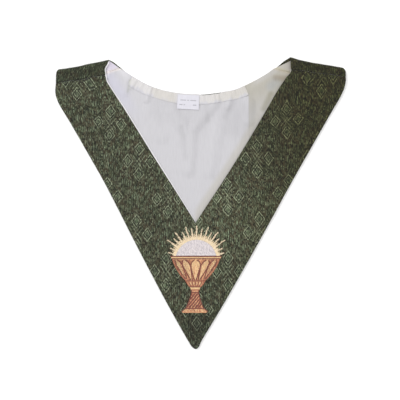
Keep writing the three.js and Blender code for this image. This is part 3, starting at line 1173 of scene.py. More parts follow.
@dataclass(frozen=True)
class JacquardFinish:
    """Green jacquard: a dark ground with a sage figure, its warp along the garment."""

    name: str = "jacquard_cloth"
    ground: tuple[float, ...] = srgb(46, 48, 33)
    brown: tuple[float, ...] = srgb(51, 47, 34)
    dark: tuple[float, ...] = srgb(33, 36, 25)
    figure: tuple[float, ...] = srgb(106, 113, 93)
    fill: tuple[float, ...] = srgb(68, 80, 61)
    flame: tuple[float, ...] = srgb(95, 107, 87)

    def make(self) -> bpy.types.Material:
        """Makes the material.

        Returns:
            The material.
        """
        material, board = start_material(self.name, 0.8, Sheen_Weight=0.05, Specular_IOR_Level=0.25)
        place = board.node("ShaderNodeUVMap", uv_map="cut")
        tone = board.node("ShaderNodeAttribute", output="Color", attribute_name="tone")
        shown = board.node("ShaderNodeAttribute", output="Alpha", attribute_name="tone")
        u, v = board.split(place)
        figure = LOZENGES.place(board, {"Place": place})
        weave = WEAVE.place(board, {"Place": place, "Warp": 0.0009, "Weft": 0.0011})
        # Noises and chances, each with its cells a metre across the warp and along it.
        flecks = board.noise(board.join(u * 640.0, v * 460.0), 1.0, 2.0)
        coarse = board.noise(board.join(u * 330.0, v * 200.0, 3.0), 1.0, 1.0)
        patches = board.noise(board.join(u * 110.0, v * 45.0), 1.0, 1.0)
        ground = board.mix(patches.step(0.4, 0.6), self.ground, self.brown)
        lit = flecks.step(0.36, 0.58)
        lines = figure["Lines"] * (lit * 0.2 + 0.82) * shown
        fill = figure["Fill"] * (lit * 0.5 + 0.25) * shown
        flames = figure["Flames"] * (lit * 0.5 + 0.45)
        loose = coarse.step(0.5, 0.64) * 0.2
        colour = board.mix(loose, ground, self.flame)
        colour = board.mix(figure["Shadow"] * shown * 0.75, colour, self.dark)
        colour = board.mix(fill, colour, self.fill)
        colour = board.mix(flames, colour, self.flame)
        colour = board.mix(lines, colour, self.figure)
        spot = board.chance(board.join((u * 640.0).math("FLOOR"), (v * 300.0).math("FLOOR")))
        colour = board.mix(spot.step(0.84, 0.9) * 0.3, colour, self.figure)
        floats = board.join((u * 880.0 + v * 180.0).math("FLOOR"), (v * 430.0).math("FLOOR"))
        grain = board.mix(board.chance(floats), (0.14, 0.14, 0.15, 1), (1.87, 1.87, 1.83, 1))
        colour = board.mix(1.0, colour, grain, "MULTIPLY")
        colour = board.mix(1.0, colour, tone, "MULTIPLY")
        raised = lines.math("MAXIMUM", flames) * 0.6 + weave["Height"] * 0.25 + flecks * 0.35
        finish_material(board, colour, board.bump(raised, 0.7, 0.00035), lit * -0.14 + 0.86)
        return material


@dataclass(frozen=True)
class PlainClothFinish:
    """A plain woven cloth, such as lining, tape or label."""

    name: str
    colour: tuple[float, ...]
    warp: float
    weft: float
    roughness: float
    depth: float
    sheen: float = 0.1
    slub: float = 0.06

    def make(self) -> bpy.types.Material:
        """Makes the material.

        Returns:
            The material.
        """
        material, board = start_material(self.name, self.roughness, Sheen_Weight=self.sheen)
        place = board.node("ShaderNodeUVMap", uv_map="cut")
        tone = board.node("ShaderNodeAttribute", output="Color", attribute_name="tone")
        weave = WEAVE.place(board, {"Place": place, "Warp": self.warp, "Weft": self.weft})
        low, high = 1 - self.slub, 1 + self.slub
        vary = board.mix(weave["Slub"].step(0.25, 0.75), (low, low, low, 1), (high, high, high, 1))
        colour = board.mix(1.0, tone, self.colour, "MULTIPLY")
        colour = board.mix(1.0, colour, vary, "MULTIPLY")
        height = weave["Height"] * 0.6 + weave["Slub"] * 0.8
        rough = weave["Slub"] * 0.2 + (self.roughness - 0.1)
        finish_material(board, colour, board.bump(height, 0.5, self.depth), rough)
        return material


@dataclass(frozen=True)
class ThreadFinish:
    """Twisted embroidery thread, whose colour is its stitch's own tone."""

    name: str
    roughness: float
    twist: float = 0.9

    def make(self) -> bpy.types.Material:
        """Makes the material.

        Returns:
            The material.
        """
        material, board = start_material(self.name, self.roughness, Sheen_Weight=0.15)
        place = board.node("ShaderNodeUVMap", uv_map="cut")
        tone = board.node("ShaderNodeAttribute", output="Color", attribute_name="tone")
        u, v = board.split(place)
        plies = (u * (2000.0 * math.pi / self.twist) + v * (2000.0 * math.pi)).math("SINE")
        shade = board.mix(plies * 0.5 + 0.5, (0.86, 0.84, 0.82, 1), (1.08, 1.08, 1.08, 1))
        colour = board.mix(1.0, tone, shade, "MULTIPLY")
        finish_material(board, colour, board.bump(plies, 0.35, 0.0001), plies * 0.06 + self.roughness)
        return material


# ---- cloth pieces --------------------------------------------------------------------------------


def dress(made: bpy.types.Object, finish: bpy.types.Material, slot: str, *nodes: str) -> None:
    """Gives a piece its material, its body and the nodes that it stands for.

    Args:
        made: the piece.
        finish: its material.
        slot: not used.
        nodes: the solids that it replaces.
    """
    made.data.materials.append(finish)
    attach(made, BODY)
    if nodes:
        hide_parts(*nodes)
    made.data.calc_loop_triangles()
    log.info("%s: %d triangles", made.name, len(made.data.loop_triangles))


# How much of red, green and blue the painted shade takes on the right arm, where the light falls off, and on
# the strips over the shoulders.
RIGHT_SHADE = np.array([0.455, 0.5, 0.66])
STRIP_SHADE = np.array([1.08, 1.0, 1.15])


def painted_jacquard_shade(points: Array, to_end: Array) -> Array:
    """Paints shade into the jacquard in the groove of its end seams, and lets the painted light fall off from
    the left arm to the right one.

    Args:
        points: points of the cloth.
        to_end: their distance from the panel's ends.
    Returns:
        A colour factor for each point.
    """
    # Painted shade in the groove of the end seams.
    dark = 1 - 0.4 * smooth(1.5, 0.5, to_end)
    x, y = points[..., 0], points[..., 1]
    side = smooth(5, 170, x) * (0.86 + 0.24 * smooth(0, 170, y))
    # Painted light low on the right arm; the jacquard is also darker towards the tip.
    low = 0.26 * smooth(110, 20, np.hypot(x - 55, y + 20))
    tip = 1 - 0.36 * smooth(-150, -215, y) - 0.2 * smooth(24, 8, np.hypot(x + 6, y + 181))
    shade = 1 - side[..., None] * RIGHT_SHADE + low[..., None]
    return shade * (dark * tip)[..., None]


def strip_tone(points: Array, to_end: Array) -> Array:
    """Gives the back panel its tone, darker in painted shade and with a weaker figure on the strips over the
    shoulders.

    Args:
        points: points of the cloth.
        to_end: their distance from its ends.
    Returns:
        A colour factor and the figure's strength for each point.
    """
    strip = smooth(31, 27, to_end)
    left = smooth(20, -20, points[..., 0])
    # Painted shade on the strips over the shoulders, more on the left.
    painted_strip_shade = (strip * (0.1 + 0.26 * left))[..., None] * STRIP_SHADE
    tone = painted_jacquard_shade(points, to_end) * (1 - painted_strip_shade)
    return np.concatenate([tone, (1 - 0.75 * strip)[..., None]], axis=-1)


def edge_lift(along: Array, outer: Array, inner: Array) -> Array:
    """Raises the band over the turned-in seam allowance at its edges, with slight puckers.

    Args:
        along: distance along the band.
        outer, inner: distances from its two edges.
    Returns:
        How far the outside rises.
    """
    edge = np.minimum(outer, inner)
    allowance = 0.22 * smooth(12.5, 9.0, edge)
    pucker = 0.13 * np.sin(along * 0.47 + 0.8 * np.sin(along * 0.083)) * np.exp(-edge / 5.0)
    return allowance + pucker


@dataclass
class Jacquard:
    """The green cloth: the front V in one piece, and the back panel that wraps over each shoulder."""

    finish: JacquardFinish = JacquardFinish()
    row_pitch: float = 1.9
    band_columns: int = 58
    back_pitch: float = 3.0
    back_columns: int = 84
    band_area: float = 0.0687
    back_area: float = 0.105

    def band(self) -> bpy.types.Object:
        """Makes the front V.

        Returns:
            The new object.
        """
        rows: list[Row] = []
        for place in row_places(0, LAST, self.row_pitch, rims=True):
            outer, band = OUTER.at(place)[0], BAND.at(place)[0]
            rows.append(FlatRow(math.dist(outer, band), start=outer, end=band))
        return Wall("band_cloth", rows, self.band_columns, 0.0, JACQUARD, edge_lift, painted_jacquard_shade).build()

    def back(self) -> bpy.types.Object:
        """Makes the back panel with both strips.

        Returns:
            The new object.
        """
        left = over_fold(SHOULDERS[Side.LEFT])
        right = over_fold(SHOULDERS[Side.RIGHT])[::-1]
        middle: list[Row] = []
        for place in row_places(0, LAST, self.back_pitch, rims=False):
            outer, neck = OUTER.at(place)[0], NECK.at(place)[0]
            inset = BACK_INSET * min(place, LAST - place, 1)
            row = FlatRow(math.dist(outer, neck), start=outer, end=neck, front=False)
            middle.append(row.fitted(inset, 0.0))
        rows = [*left, *middle, *right]
        return Wall("back_cloth", rows, self.back_columns, 0.0, JACQUARD, None, strip_tone).build()

    def build(self) -> list[bpy.types.Object]:
        """Makes and dresses both panels.

        Returns:
            The band and the back.
        """
        material = self.finish.make()
        band, back = self.band(), self.back()
        dress(band, material, "jacquard", "front_band")
        dress(back, material, "jacquard", "back_panel")
        return [band, back]


def bare_neck(x: Array) -> Array:
    """Tells where the jacquard shows past the lining at the neckline."""
    return smooth(-6, 4, x) * smooth(36, 28, x)


@dataclass(frozen=True)
class Mark:
    """A painted soft shade along a short line of the lining, or a painted light where its parts are below
    zero.
    """

    crease: Crease
    shade: tuple[float, float, float]

    def factor(self, plan: Array) -> Array:
        """Gives a colour factor for each plan point."""
        return 1 - self.crease.lift(plan)[..., None] * np.array(self.shade)


# Painted shade of a small crease, and painted light on a ridge, near the facing.
CREASE_MARK = Crease(-109.5, 192, -113.4, 174, 1.0, 2.6)
CREASE_SHADE = np.array([0.13, 0.11, 0.17])
RIDGE_MARK = Crease(-80, 176, -84.5, 162, 1.0, 2.6)
RIDGE_LIGHT = 0.06
# Painted light where the lining turns over the left shoulder.
TURN_LIGHT = Mark(Crease(-142.6, 218, -145.4, 197, 1.0, 2.8), (-0.4, -0.4, -0.4))
# Painted shadows on the back lining: beside the right fold, a cooler one under it, the turn's light, and one
# beside the band's right inner edge.
PAINTED_BACK_MARKS = (
    Mark(Crease(117, 195.3, 134, 194, 1.0, 8.0), (0.24, 0.29, 0.34)),
    Mark(Crease(110, 182, 118, 187, 1.0, 13.0), (0.1, 0.05, -0.05)),
    TURN_LIGHT,
    Mark(Crease(109, 170, 98, 147, 1.0, 7.5), (0.28, 0.28, 0.33)),
)

# How much of red, green and blue each tint of the lining takes or adds: the warm painted shade on the right,
# a bluish tint, cream at the seams, and the cream of the painted shadow beside the band.
WARM_SHADE = np.array([0.23, 0.256, 0.378])
BLUE_LIGHT = np.array([-0.02, -0.02, 0.06])
SEAM_SHADE = np.array([-0.04, 0.01, 0.08])
STRIP_SHADOW_CREAM = np.array([0.0, 0.01, 0.05])


def painted_crease_shading(points: Array) -> Array:
    """Gives the painted soft shade of the small creases at both ends of the facing, with painted light on a
    ridge.
    """
    crease, ridge = CREASE_MARK.lift(points[..., :2]), RIDGE_MARK.lift(points[..., :2])
    return 1 - crease[..., None] * CREASE_SHADE + ridge[..., None] * RIDGE_LIGHT


def seam_light(points: Array, to_end: Array) -> Array:
    """Gives how much painted light lifts the linings along their turned end seams, against the shade of the
    seam's groove, more so on the left.
    """
    return ((0.24 + 0.21 * shoulder_of(points)) * smooth(1.3, 0.3, to_end))[..., None]


def back_lining_tone(points: Array, to_end: Array) -> Array:
    """Tints the lining: cool white in the middle, cream at the seams, warm and greyer in painted shade on the
    right, with painted shade and light at its folds, creases, seams and neckline.

    Args:
        points: points of the lining.
        to_end: their distance from its end seams.
    Returns:
        A colour factor for each point.
    """
    x, y = points[..., 0], points[..., 1]
    beside = over_edge(BAND, points, LAST / 2, LAST, 90) * EDGE_SLANT
    # Warm painted shade on the right part, beyond the fold at X 75.
    cleft = np.maximum(smooth(73.4, 75.4, x), smooth(64, 66, x) * smooth(166, 168, y))
    warm = cleft * (0.8 + 0.2 * smooth(150, 180, y)) * (1.0 - 0.3 * smooth(70, 120, x) * smooth(190, 150, y))
    # Painted shadow beside the band's right inner edge.
    strip = smooth(16, 6, beside) * smooth(-14, -4, x)
    warm = np.maximum(warm, strip * 0.62)
    under = -over_edge(NECK, points, 0, LAST, 160)
    # Painted light under the neckline, at the left end and on the right.
    glow = 0.15 * smooth(16, 3, under) * smooth(-106, -118, x)
    glow = glow + 0.075 * smooth(17, 4, under) * smooth(70, 76, x) * smooth(112, 92, x)
    warm = warm * (1 - 0.3 * smooth(11, 3, under) * smooth(76, 88, x)) * (1 - 0.35 * smooth(165, 132, y))
    beside = over_edge(BAND, points, 0, LAST / 2, 90) * EDGE_SLANT
    blue = smooth(26, 8, beside) * smooth(120, 175, y) * smooth(0, -60, x)
    cream = smooth(4.0, 0.8, to_end)
    # Painted shade: a thin line along the fold at X 75, and three broad soft patches.
    fold = smooth(1.4, 0.4, np.abs(x - 75.0)) * 0.07
    dim = 0.05 * smooth(40, 15, np.hypot(x + 15, (y - 140) * 0.8))
    dim = dim + 0.04 * smooth(34, 10, np.hypot(x + 60, y - 150))
    dim = dim + 0.08 * smooth(42, 18, np.hypot(x - 62, y - 130))
    tone = np.ones((*points.shape[:-1], 3))
    tone *= 1 - warm[..., None] * WARM_SHADE
    tone *= 1 + blue[..., None] * BLUE_LIGHT
    tone *= 1 - cream[..., None] * SEAM_SHADE
    tone *= 1 + seam_light(points, to_end)
    plan = points[..., :2]
    for mark in PAINTED_BACK_MARKS:
        tone *= mark.factor(plan)
    tone *= 1 - strip[..., None] * STRIP_SHADOW_CREAM
    # Painted shade in the troughs, by their depth.
    painted_trough_shade = -np.min([crease.lift(plan) for crease in LINING_TROUGHS], axis=0)
    return tone * painted_crease_shading(points) * (1 + glow - fold - dim - 0.2 * painted_trough_shade)[..., None]


# Colour factors of the front's lining: a little pink in the left fold, painted light on its front part, the
# warm painted shade of the right fold, and cream at its seams.
FOLD_PINK = np.array([1.18, 1.11, 1.23])
FRONT_LIGHT = np.array([0.32, 0.38, 0.23])
RIGHT_WARM_SHADE = np.array([0.9, 0.86, 0.73])
FOLD_CREAM = np.array([0.05, 0.06, 0.2])


def front_lining_tone(points: Array, to_end: Array) -> Array:
    """Tints the front's lining: a little pink in the left fold, painted light on its front part, end seams
    and turn, warm painted shade in the right fold that deepens into its corner, and cream at its seams.

    Args:
        points: points of the cloth.
        to_end: their distance from its ends.
    Returns:
        A colour factor for each point.
    """
    x = points[..., 0]
    right = smooth(-20, 40, x)[..., None]
    front = smooth(24, 31, to_end)[..., None]
    cream = smooth(5.5, 1.0, to_end)[..., None]
    corner = smooth(118, 142, x)[..., None] * (1 - front)
    # Painted light on the front part, whose edge shows past the band on the left.
    tone = FOLD_PINK + front * FRONT_LIGHT
    # Warm painted shade in the right fold.
    tone = tone + right * (RIGHT_WARM_SHADE - tone)
    # Painted shadow deepening into the right fold's corner.
    tone = tone * (1 - 0.2 * corner)
    tone = tone * (1 + seam_light(points, to_end))
    tone = tone * TURN_LIGHT.factor(points[..., :2])
    return tone * (1 - cream * FOLD_CREAM)


@dataclass
class Linings:
    """The white linings of the front and of the back."""

    finish: PlainClothFinish = PlainClothFinish(
        "lining_cloth", srgb(181, 180, 184), 0.0007, 0.0008, 0.62, 0.00012, sheen=0.15, slub=0.035
    )
    front_pitch: float = 3.2
    back_pitch: float = 3.0
    left_draw: float = 4.0
    right_draw: float = 6.0
    front_area: float = 0.0729
    back_area: float = 0.0938

    def seam_row(self, shoulder: Shoulder, room: float) -> FlatRow:
        """Lays the row of the lining's own seam, which lies on the back behind the fold.

        Args:
            shoulder: its shoulder.
            room: how far it is moved away from the fold.
        Returns:
            The row.
        """
        outer, inner = np.array(shoulder.lining_outer), np.array(shoulder.lining_inner)
        away = (outer + inner) / 2 - (np.array(shoulder.outer) + shoulder.inner) / 2
        shift = away / np.hypot(*away) * room
        return FlatRow(math.dist(outer, inner), start=outer + shift, end=inner + shift, front=False)

    def blended(self, first: Row, second: Row, steps: int) -> list[Row]:
        """Lays flat rows between two rows of the back.

        Args:
            first: the row to start from.
            second: the row to reach.
            steps: rows to lay, both ends left out.
        Returns:
            The rows between.
        """
        ends = np.array([0.0, 1.0])
        depth = np.full(2, LINING_DEPTH)
        one, two = first.points(ends, depth)[:, :2], second.points(ends, depth)[:, :2]
        rows: list[Row] = []
        for step in range(1, steps + 1):
            start, end = one + (two - one) * step / (steps + 1)
            rows.append(FlatRow(math.dist(start, end), start=start, end=end, front=False))
        return rows

    def front(self) -> bpy.types.Object:
        """Makes the lining of the V, which runs on over each fold.

        Returns:
            The new object.
        """
        strips = {}
        peek = LINING_PEEK + 0.2
        for side, shoulder in SHOULDERS.items():
            rows = over_fold(shoulder)[len(RIM_STEPS) :]
            for index, row in enumerate(rows):
                if side is Side.LEFT:
                    ease = peek - self.left_draw * float(smooth(12, 21, index))
                else:
                    ease = LINING_HIDE - self.right_draw * float(smooth(8, 24, index))
                row.fitted(LINING_INSET, ease)
            seam = self.seam_row(shoulder, 0.0)
            strips[side] = [seam, *self.blended(seam, rows[-1], 9), *rows[::-1]]
        middle: list[Row] = []
        for place in row_places(0.5, LAST - 0.5, self.front_pitch, rims=False):
            outer, band = OUTER.at(place)[0], BAND.at(place)[0]
            right = float(smooth(LAST / 2 - 1, LAST / 2 + 1, place))
            ease = peek + (LINING_HIDE - peek) * right
            middle.append(FlatRow(math.dist(outer, band), start=outer, end=band).fitted(LINING_INSET, ease))
        rows = [*strips[Side.LEFT], *middle, *strips[Side.RIGHT][::-1]]
        wall = Wall("front_lining_cloth", rows, 30, LINING_DEPTH, LINING, None, front_lining_tone)
        return wall.build()

    def back(self) -> bpy.types.Object:
        """Makes the lining of the back, from seam to seam.

        Returns:
            The new object.
        """
        left, right = (self.seam_row(shoulder, 0.06).fitted(0.0, 0.5) for shoulder in SHOULDERS.values())
        middle: list[Row] = []
        for place in row_places(2, LAST - 2, self.back_pitch, rims=False):
            outer, neck = OUTER.at(place)[0], NECK.at(place)[0]
            row = FlatRow(math.dist(outer, neck), start=outer, end=neck, front=False, relief=lining_relief)
            middle.append(row.fitted(LINING_INSET, 0.45 - 1.5 * float(bare_neck(neck[0]))))
        rows = [left, *self.blended(left, middle[0], 5), *middle]
        rows += [*self.blended(middle[-1], right, 5), right]
        wall = Wall("back_lining_cloth", rows, 150, LINING_DEPTH, LINING, None, back_lining_tone)
        return wall.build()

    def build(self) -> list[bpy.types.Object]:
        """Makes and dresses both linings.

        Returns:
            The front lining and the back one.
        """
        material = self.finish.make()
        front, back = self.front(), self.back()
        dress(front, material, "lining", "front_lining")
        dress(back, material, "lining", "back_lining")
        return [front, back]


@dataclass
class TapeRow(Row):
    """A row across the neck facing, from its lower edge to the neckline."""

    start: Array = field(default_factory=lambda: np.zeros(2))
    end: Array = field(default_factory=lambda: np.zeros(2))
    along: float = 0.0
    pucker: float = 0.0

    def points(self, share: Array, depth: Array) -> Array:
        """Gives points of the row on top of the lining, with short puckers from the neckline.

        Args:
            share: shares of the row, 0 at its outer end.
            depth: depth of each point under the garment's outside.
        Returns:
            One point for each share.
        """
        plan = self.start + share[:, None] * (self.end - self.start)
        fade = 0.35 + 0.65 * share
        wave = self.pucker * (1 + np.sin(self.along * 0.78 + 1.1 * np.sin(self.along * 0.19))) * fade
        return np.column_stack([plan, depth + lining_relief(plan) + wave])

    def cut(self, share: Array) -> Array:
        """Gives the same points on the tape."""
        return np.column_stack([np.full(len(share), self.along), share * self.length])


TAPE_SHADE = np.array([0.075, 0.09, 0.15])
TAPE_FADE = np.array([0.84, 0.855, 0.92])


def facing_tone(points: Array, to_end: Array) -> Array:
    """Warms the facing a little from left to right, lets its lower edge fade into the lining, and carries the
    painted shade and light of the small creases.

    Args:
        points: points of the cloth.
        to_end: their distance from its ends.
    Returns:
        A colour factor for each point.
    """
    x = points[..., 0]
    down = -over_edge(NECK, points, 0, LAST, 300) * 0.96
    warm = 0.9 * smooth(-20, 70, x) + 0.75 * smooth(-80, -70, x) * smooth(-34, -44, x) + 0.15
    uneven = 1.6 * np.sin(0.31 * x) + 1.1 * np.sin(0.83 * x + 1.0)
    low = smooth(10.0, 15.0, down + uneven) * (0.75 - 0.35 * smooth(-78, -72, x) * smooth(-30, -40, x))
    tone = 1 - warm[..., None] * TAPE_SHADE
    return (tone + (TAPE_FADE - tone) * low[..., None]) * painted_crease_shading(points)


@dataclass
class NeckFacing:
    """The cream tape along the neckline of the back."""

    finish: PlainClothFinish = PlainClothFinish(
        "facing_tape", srgb(196, 194, 195), 0.0006, 0.0009, 0.7, 0.00016, slub=0.05
    )
    first: float = 2.45
    last: float = 15.9
    width: float = 15.0
    area: float = 0.0031

    def rows(self) -> list[Row]:
        """Lays the rows of the tape along the neckline.

        Returns:
            The rows, left end first.
        """
        fine = np.linspace(self.first, self.last, 2000)
        along = running_length(NECK.at(fine))
        rim = np.array(RIM_STEPS[:-1])
        spaced = np.linspace(RIM_STEPS[-1], along[-1] - RIM_STEPS[-1], 260)
        made: list[Row] = []
        for reach in np.concatenate([rim, spaced, (along[-1] - rim)[::-1]]):
            place = np.interp(reach, along, fine)
            neck = NECK.at(place)[0]
            ahead = NECK.at(place + 0.05)[0] - neck
            down = np.array([ahead[1], -ahead[0]]) / np.hypot(*ahead)
            x = neck[0]
            top = neck + down * (0.1 + 1.2 * float(bare_neck(x)))
            low = neck + down * (self.width + 0.5 * math.sin(reach * 0.11))
            left = float(smooth(-120, -106, x) * smooth(-58, -72, x))
            right = float(smooth(-4, 4, x) * smooth(74, 68, x))
            pucker = 0.05 + 0.42 * max(left, 1.1 * right)
            made.append(TapeRow(math.dist(top, low), start=low, end=top, along=float(reach), pucker=pucker))
        return made

    def build(self) -> bpy.types.Object:
        """Makes and dresses the tape.

        Returns:
            The tape.
        """
        made = Wall("facing_cloth", self.rows(), 14, LINING_TOP + 0.08, TAPE, None, facing_tone).build()
        dress(made, self.finish.make(), "facing", "neck_facing")
        return made


@dataclass
class LabelRow(Row):
    """A row of the label, from its lower edge to its upper one."""

    label: "Label | None" = None
    across: float = 0.0

    def points(self, share: Array, depth: Array) -> Array:
        """Gives points of the row, resting on the facing above and on the lining below.

        Args:
            share: shares of the row, 0 at its outer end.
            depth: depth of each point under the garment's outside.
        Returns:
            One point for each share.
        """
        tag = self.label
        x = np.full(len(share), self.across - tag.width / 2)
        y = (share - 0.5) * tag.height
        cos, sin = math.cos(tag.turn), math.sin(tag.turn)
        plan = np.column_stack([tag.x + x * cos - y * sin, tag.y + x * sin + y * cos])
        sag = 0.55 * smooth(0.42, 0.05, share)
        curl = 0.25 * smooth(0.06, 0.0, share) * (0.5 + 0.5 * math.sin(self.across * 0.21))
        bow = 0.15 * math.sin(self.across / tag.width * math.pi)
        return np.column_stack([plan, depth + lining_relief(plan) - sag + curl + bow])

    def cut(self, share: Array) -> Array:
        """Gives the same points on the woven strip."""
        return np.column_stack([np.full(len(share), self.across), share * self.length])


@dataclass
class Label:
    """The woven label at the middle of the neckline, with two rows of plain dashes."""

    finish: PlainClothFinish = PlainClothFinish(
        "label_weave", srgb(197, 196, 204), 0.0004, 0.0005, 0.6, 0.00008, slub=0.03
    )
    x: float = -19.5
    y: float = 157.5
    width: float = 34.0
    height: float = 22.5
    turn: float = -0.055
    level: float = 3.75

    def tone(self, points: Array, to_end: Array) -> Array:
        """Greys the woven dashes.

        Args:
            points: points of the label.
            to_end: their distance from its ends.
        Returns:
            A colour factor for each point.
        """
        cos, sin = math.cos(-self.turn), math.sin(-self.turn)
        away = points[..., :2] - np.array([self.x, self.y])
        x = away[..., 0] * cos - away[..., 1] * sin
        y = away[..., 0] * sin + away[..., 1] * cos
        grey = np.zeros(x.shape)
        # Columns: height of the row, start and end of the dash.
        dashes = (
            (2.6, -12.2, -3.4), (2.6, -1.6, 1.2), (2.6, 3.0, 12.4),
            (-4.4, -13.6, -8.6), (-4.4, -6.8, -4.6), (-4.4, 7.4, 12.6),
        )
        for row, start, end in dashes:
            on = smooth(0.95, 0.45, np.abs(y - row)) * smooth(start - 0.3, start + 0.3, x)
            grey = np.maximum(grey, on * smooth(end + 0.3, end - 0.3, x))
        return np.ones((*points.shape[:-1], 3)) * (1 - 0.42 * grey)[..., None]

    def build(self) -> bpy.types.Object:
        """Makes and dresses the label.

        Returns:
            The label.
        """
        rim = np.array(RIM_STEPS[:-1])
        spaced = np.linspace(RIM_STEPS[-1], self.width - RIM_STEPS[-1], 60)
        rows: list[Row] = []
        for across in np.concatenate([rim, spaced, (self.width - rim)[::-1]]):
            rows.append(LabelRow(self.height, label=self, across=float(across)))
        made = Wall("label_cloth", rows, 40, self.level, TAG, None, self.tone).build()
        dress(made, self.finish.make(), "label", "label")
        return made


# ---- embroidery ----------------------------------------------------------------------------------


SATIN_PITCH = 0.52
SATIN_WIDTH = 0.6


@dataclass
class Stitches:
    """Stitches of one piece, each a copy of one modelled stitch."""

    name: str
    rng: np.random.Generator
    starts: list[Array] = field(default_factory=list)
    ends: list[Array] = field(default_factory=list)
    sizes: list[tuple[float, float]] = field(default_factory=list)
    tones: list[Array] = field(default_factory=list)

    def add(self, start: Array, end: Array, width: float, level: float, tone: Sequence[float]) -> None:
        """Lays one stitch.

        Args:
            start, end: plan points of its two ends.
            width: its width.
            level: height of its middle over the cloth.
            tone: its linear colour.
        """
        self.starts.append(np.asarray(start, dtype=float))
        self.ends.append(np.asarray(end, dtype=float))
        self.sizes.append((width, level))
        shade = 1 + 0.09 * self.rng.standard_normal()
        self.tones.append(np.array(tone[:3]) * max(shade, 0.7))

    def satin(
        self,
        path: Sequence[Sequence[float]],
        widths: Sequence[float],
        tone: Sequence[float],
        level: float,
        ragged: float = 0.06,
    ) -> None:
        """Covers a line with short stitches across it.

        Args:
            path: points of the line.
            widths: width of the line at its start and at its end.
            tone: linear colour of the thread.
            level: height over the cloth.
            ragged: how unevenly its edges run.
        """
        points = np.array(path, dtype=float)
        along = running_length(points)
        count = max(int(along[-1] / SATIN_PITCH), 2)
        for reach in np.linspace(0, along[-1], count):
            behind, centre, ahead = (
                np.array([np.interp(reach + step, along, points[:, axis]) for axis in (0, 1)])
                for step in (-0.4, 0.0, 0.4)
            )
            way = (ahead - behind) / max(np.hypot(*(ahead - behind)), 1e-6)
            across = np.array([-way[1], way[0]]) + way * 0.25
            width = widths[0] + (widths[1] - widths[0]) * reach / along[-1]
            half = across * (width / 2 * (1 + ragged * self.rng.standard_normal()))
            self.add(centre - half, centre + half, SATIN_WIDTH, level, tone)

    def model(self) -> tuple[Array, Array]:
        """Models one stitch as by hand: a six-sided spindle with blunt ends, lying along X.

        Returns:
            Its points, one long and one wide, and the corners of its faces as triangles.
        """
        deselect()
        lying = (0, math.pi / 2, 0)
        bpy.ops.mesh.primitive_uv_sphere_add(segments=6, ring_count=4, radius=0.5, rotation=lying)
        bead = bpy.context.object
        bpy.ops.object.transform_apply(location=True, rotation=True, scale=True)
        for side in (-1, 1):
            bpy.ops.object.mode_set(mode="EDIT")
            bpy.ops.mesh.select_all(action="DESELECT")
            bpy.ops.object.mode_set(mode="OBJECT")
            for vertex in bead.data.vertices:
                vertex.select = 0.2 < side * vertex.co.x < 0.45
            bpy.ops.object.mode_set(mode="EDIT")
            bpy.ops.mesh.select_mode(type="VERT")
            place = (side * 0.354, 0.0, 0.0)
            bpy.ops.transform.resize(value=(1, 1.25, 1.25), center_override=place)
            bpy.ops.transform.translate(value=(side * 0.06, 0, 0))
            bpy.ops.object.mode_set(mode="OBJECT")
        points = np.array([vertex.co[:] for vertex in bead.data.vertices])
        bead.data.calc_loop_triangles()
        faces = np.array([triangle.vertices[:] for triangle in bead.data.loop_triangles])
        bpy.data.objects.remove(bead)
        return points, faces

    def build(self) -> bpy.types.Object:
        """Copies the modelled stitch along every laid one, as one mesh.

        Returns:
            The new object.
        """
        bead, corners = self.model()
        starts, ends = np.array(self.starts), np.array(self.ends)
        width, level = np.array(self.sizes).T
        way = ends - starts
        length = np.maximum(np.hypot(*way.T), 0.3)
        unit = way / length[:, None]
        side = np.column_stack([-unit[:, 1], unit[:, 0]])
        centre = (starts + ends) / 2
        along = bead[None, :, 0] * (length + width * 0.3)[:, None]
        across = bead[None, :, 1] * width[:, None]
        plan = centre[:, None] + unit[:, None] * along[..., None] + side[:, None] * across[..., None]
        arch = (1 - (2 * bead[None, :, 0]) ** 2) * np.minimum(0.05 * length, 0.12)[:, None]
        rise = bead[None, :, 2] * (width * 0.8)[:, None] + level[:, None] + arch
        height = front_top(plan) + rise
        points = np.concatenate([plan, height[..., None]], axis=-1).reshape(-1, 3)
        shift = (np.arange(len(starts)) * len(bead))[:, None, None]
        faces = (corners[None] + shift).reshape(-1, 3)
        made = add_object(self.name, points, faces)
        turn = np.arctan2(bead[:, 2], bead[:, 1]) / (2 * math.pi)
        cut = np.stack([along, np.broadcast_to(turn, along.shape)], axis=-1).reshape(-1, 2)
        tone = np.repeat(np.array(self.tones), len(bead), axis=0)
        paint(made, cut, np.clip(tone, 0, 1))
        return made


CREAM = srgb(224, 206, 176)
GOLD = srgb(222, 188, 142)
AMBER = srgb(208, 154, 114)
COPPER = srgb(172, 108, 80)
DARK = srgb(118, 60, 48)
WHITE = srgb(210, 203, 205)
GREY = srgb(188, 181, 187)
BUFF = srgb(223, 203, 166)
# The cup's outline. Columns: the distance under the rim and the half width there.
CUP = np.array([
    (0, 39.6), (4.4, 38.2), (5.0, 36.9), (12, 34.4), (20, 30.2), (28, 24.6), (34, 19.2), (38.6, 14.6),
    (39.0, 15.2), (42.5, 13.2), (47.6, 9.4), (48.0, 8.4), (52.2, 7.9), (52.6, 5.7), (57, 5.7), (64, 7.4),
    (72, 10.2), (81.2, 14.0), (82.0, 15.6), (84.2, 18.8), (86.2, 21.0), (88, 19.0),
])


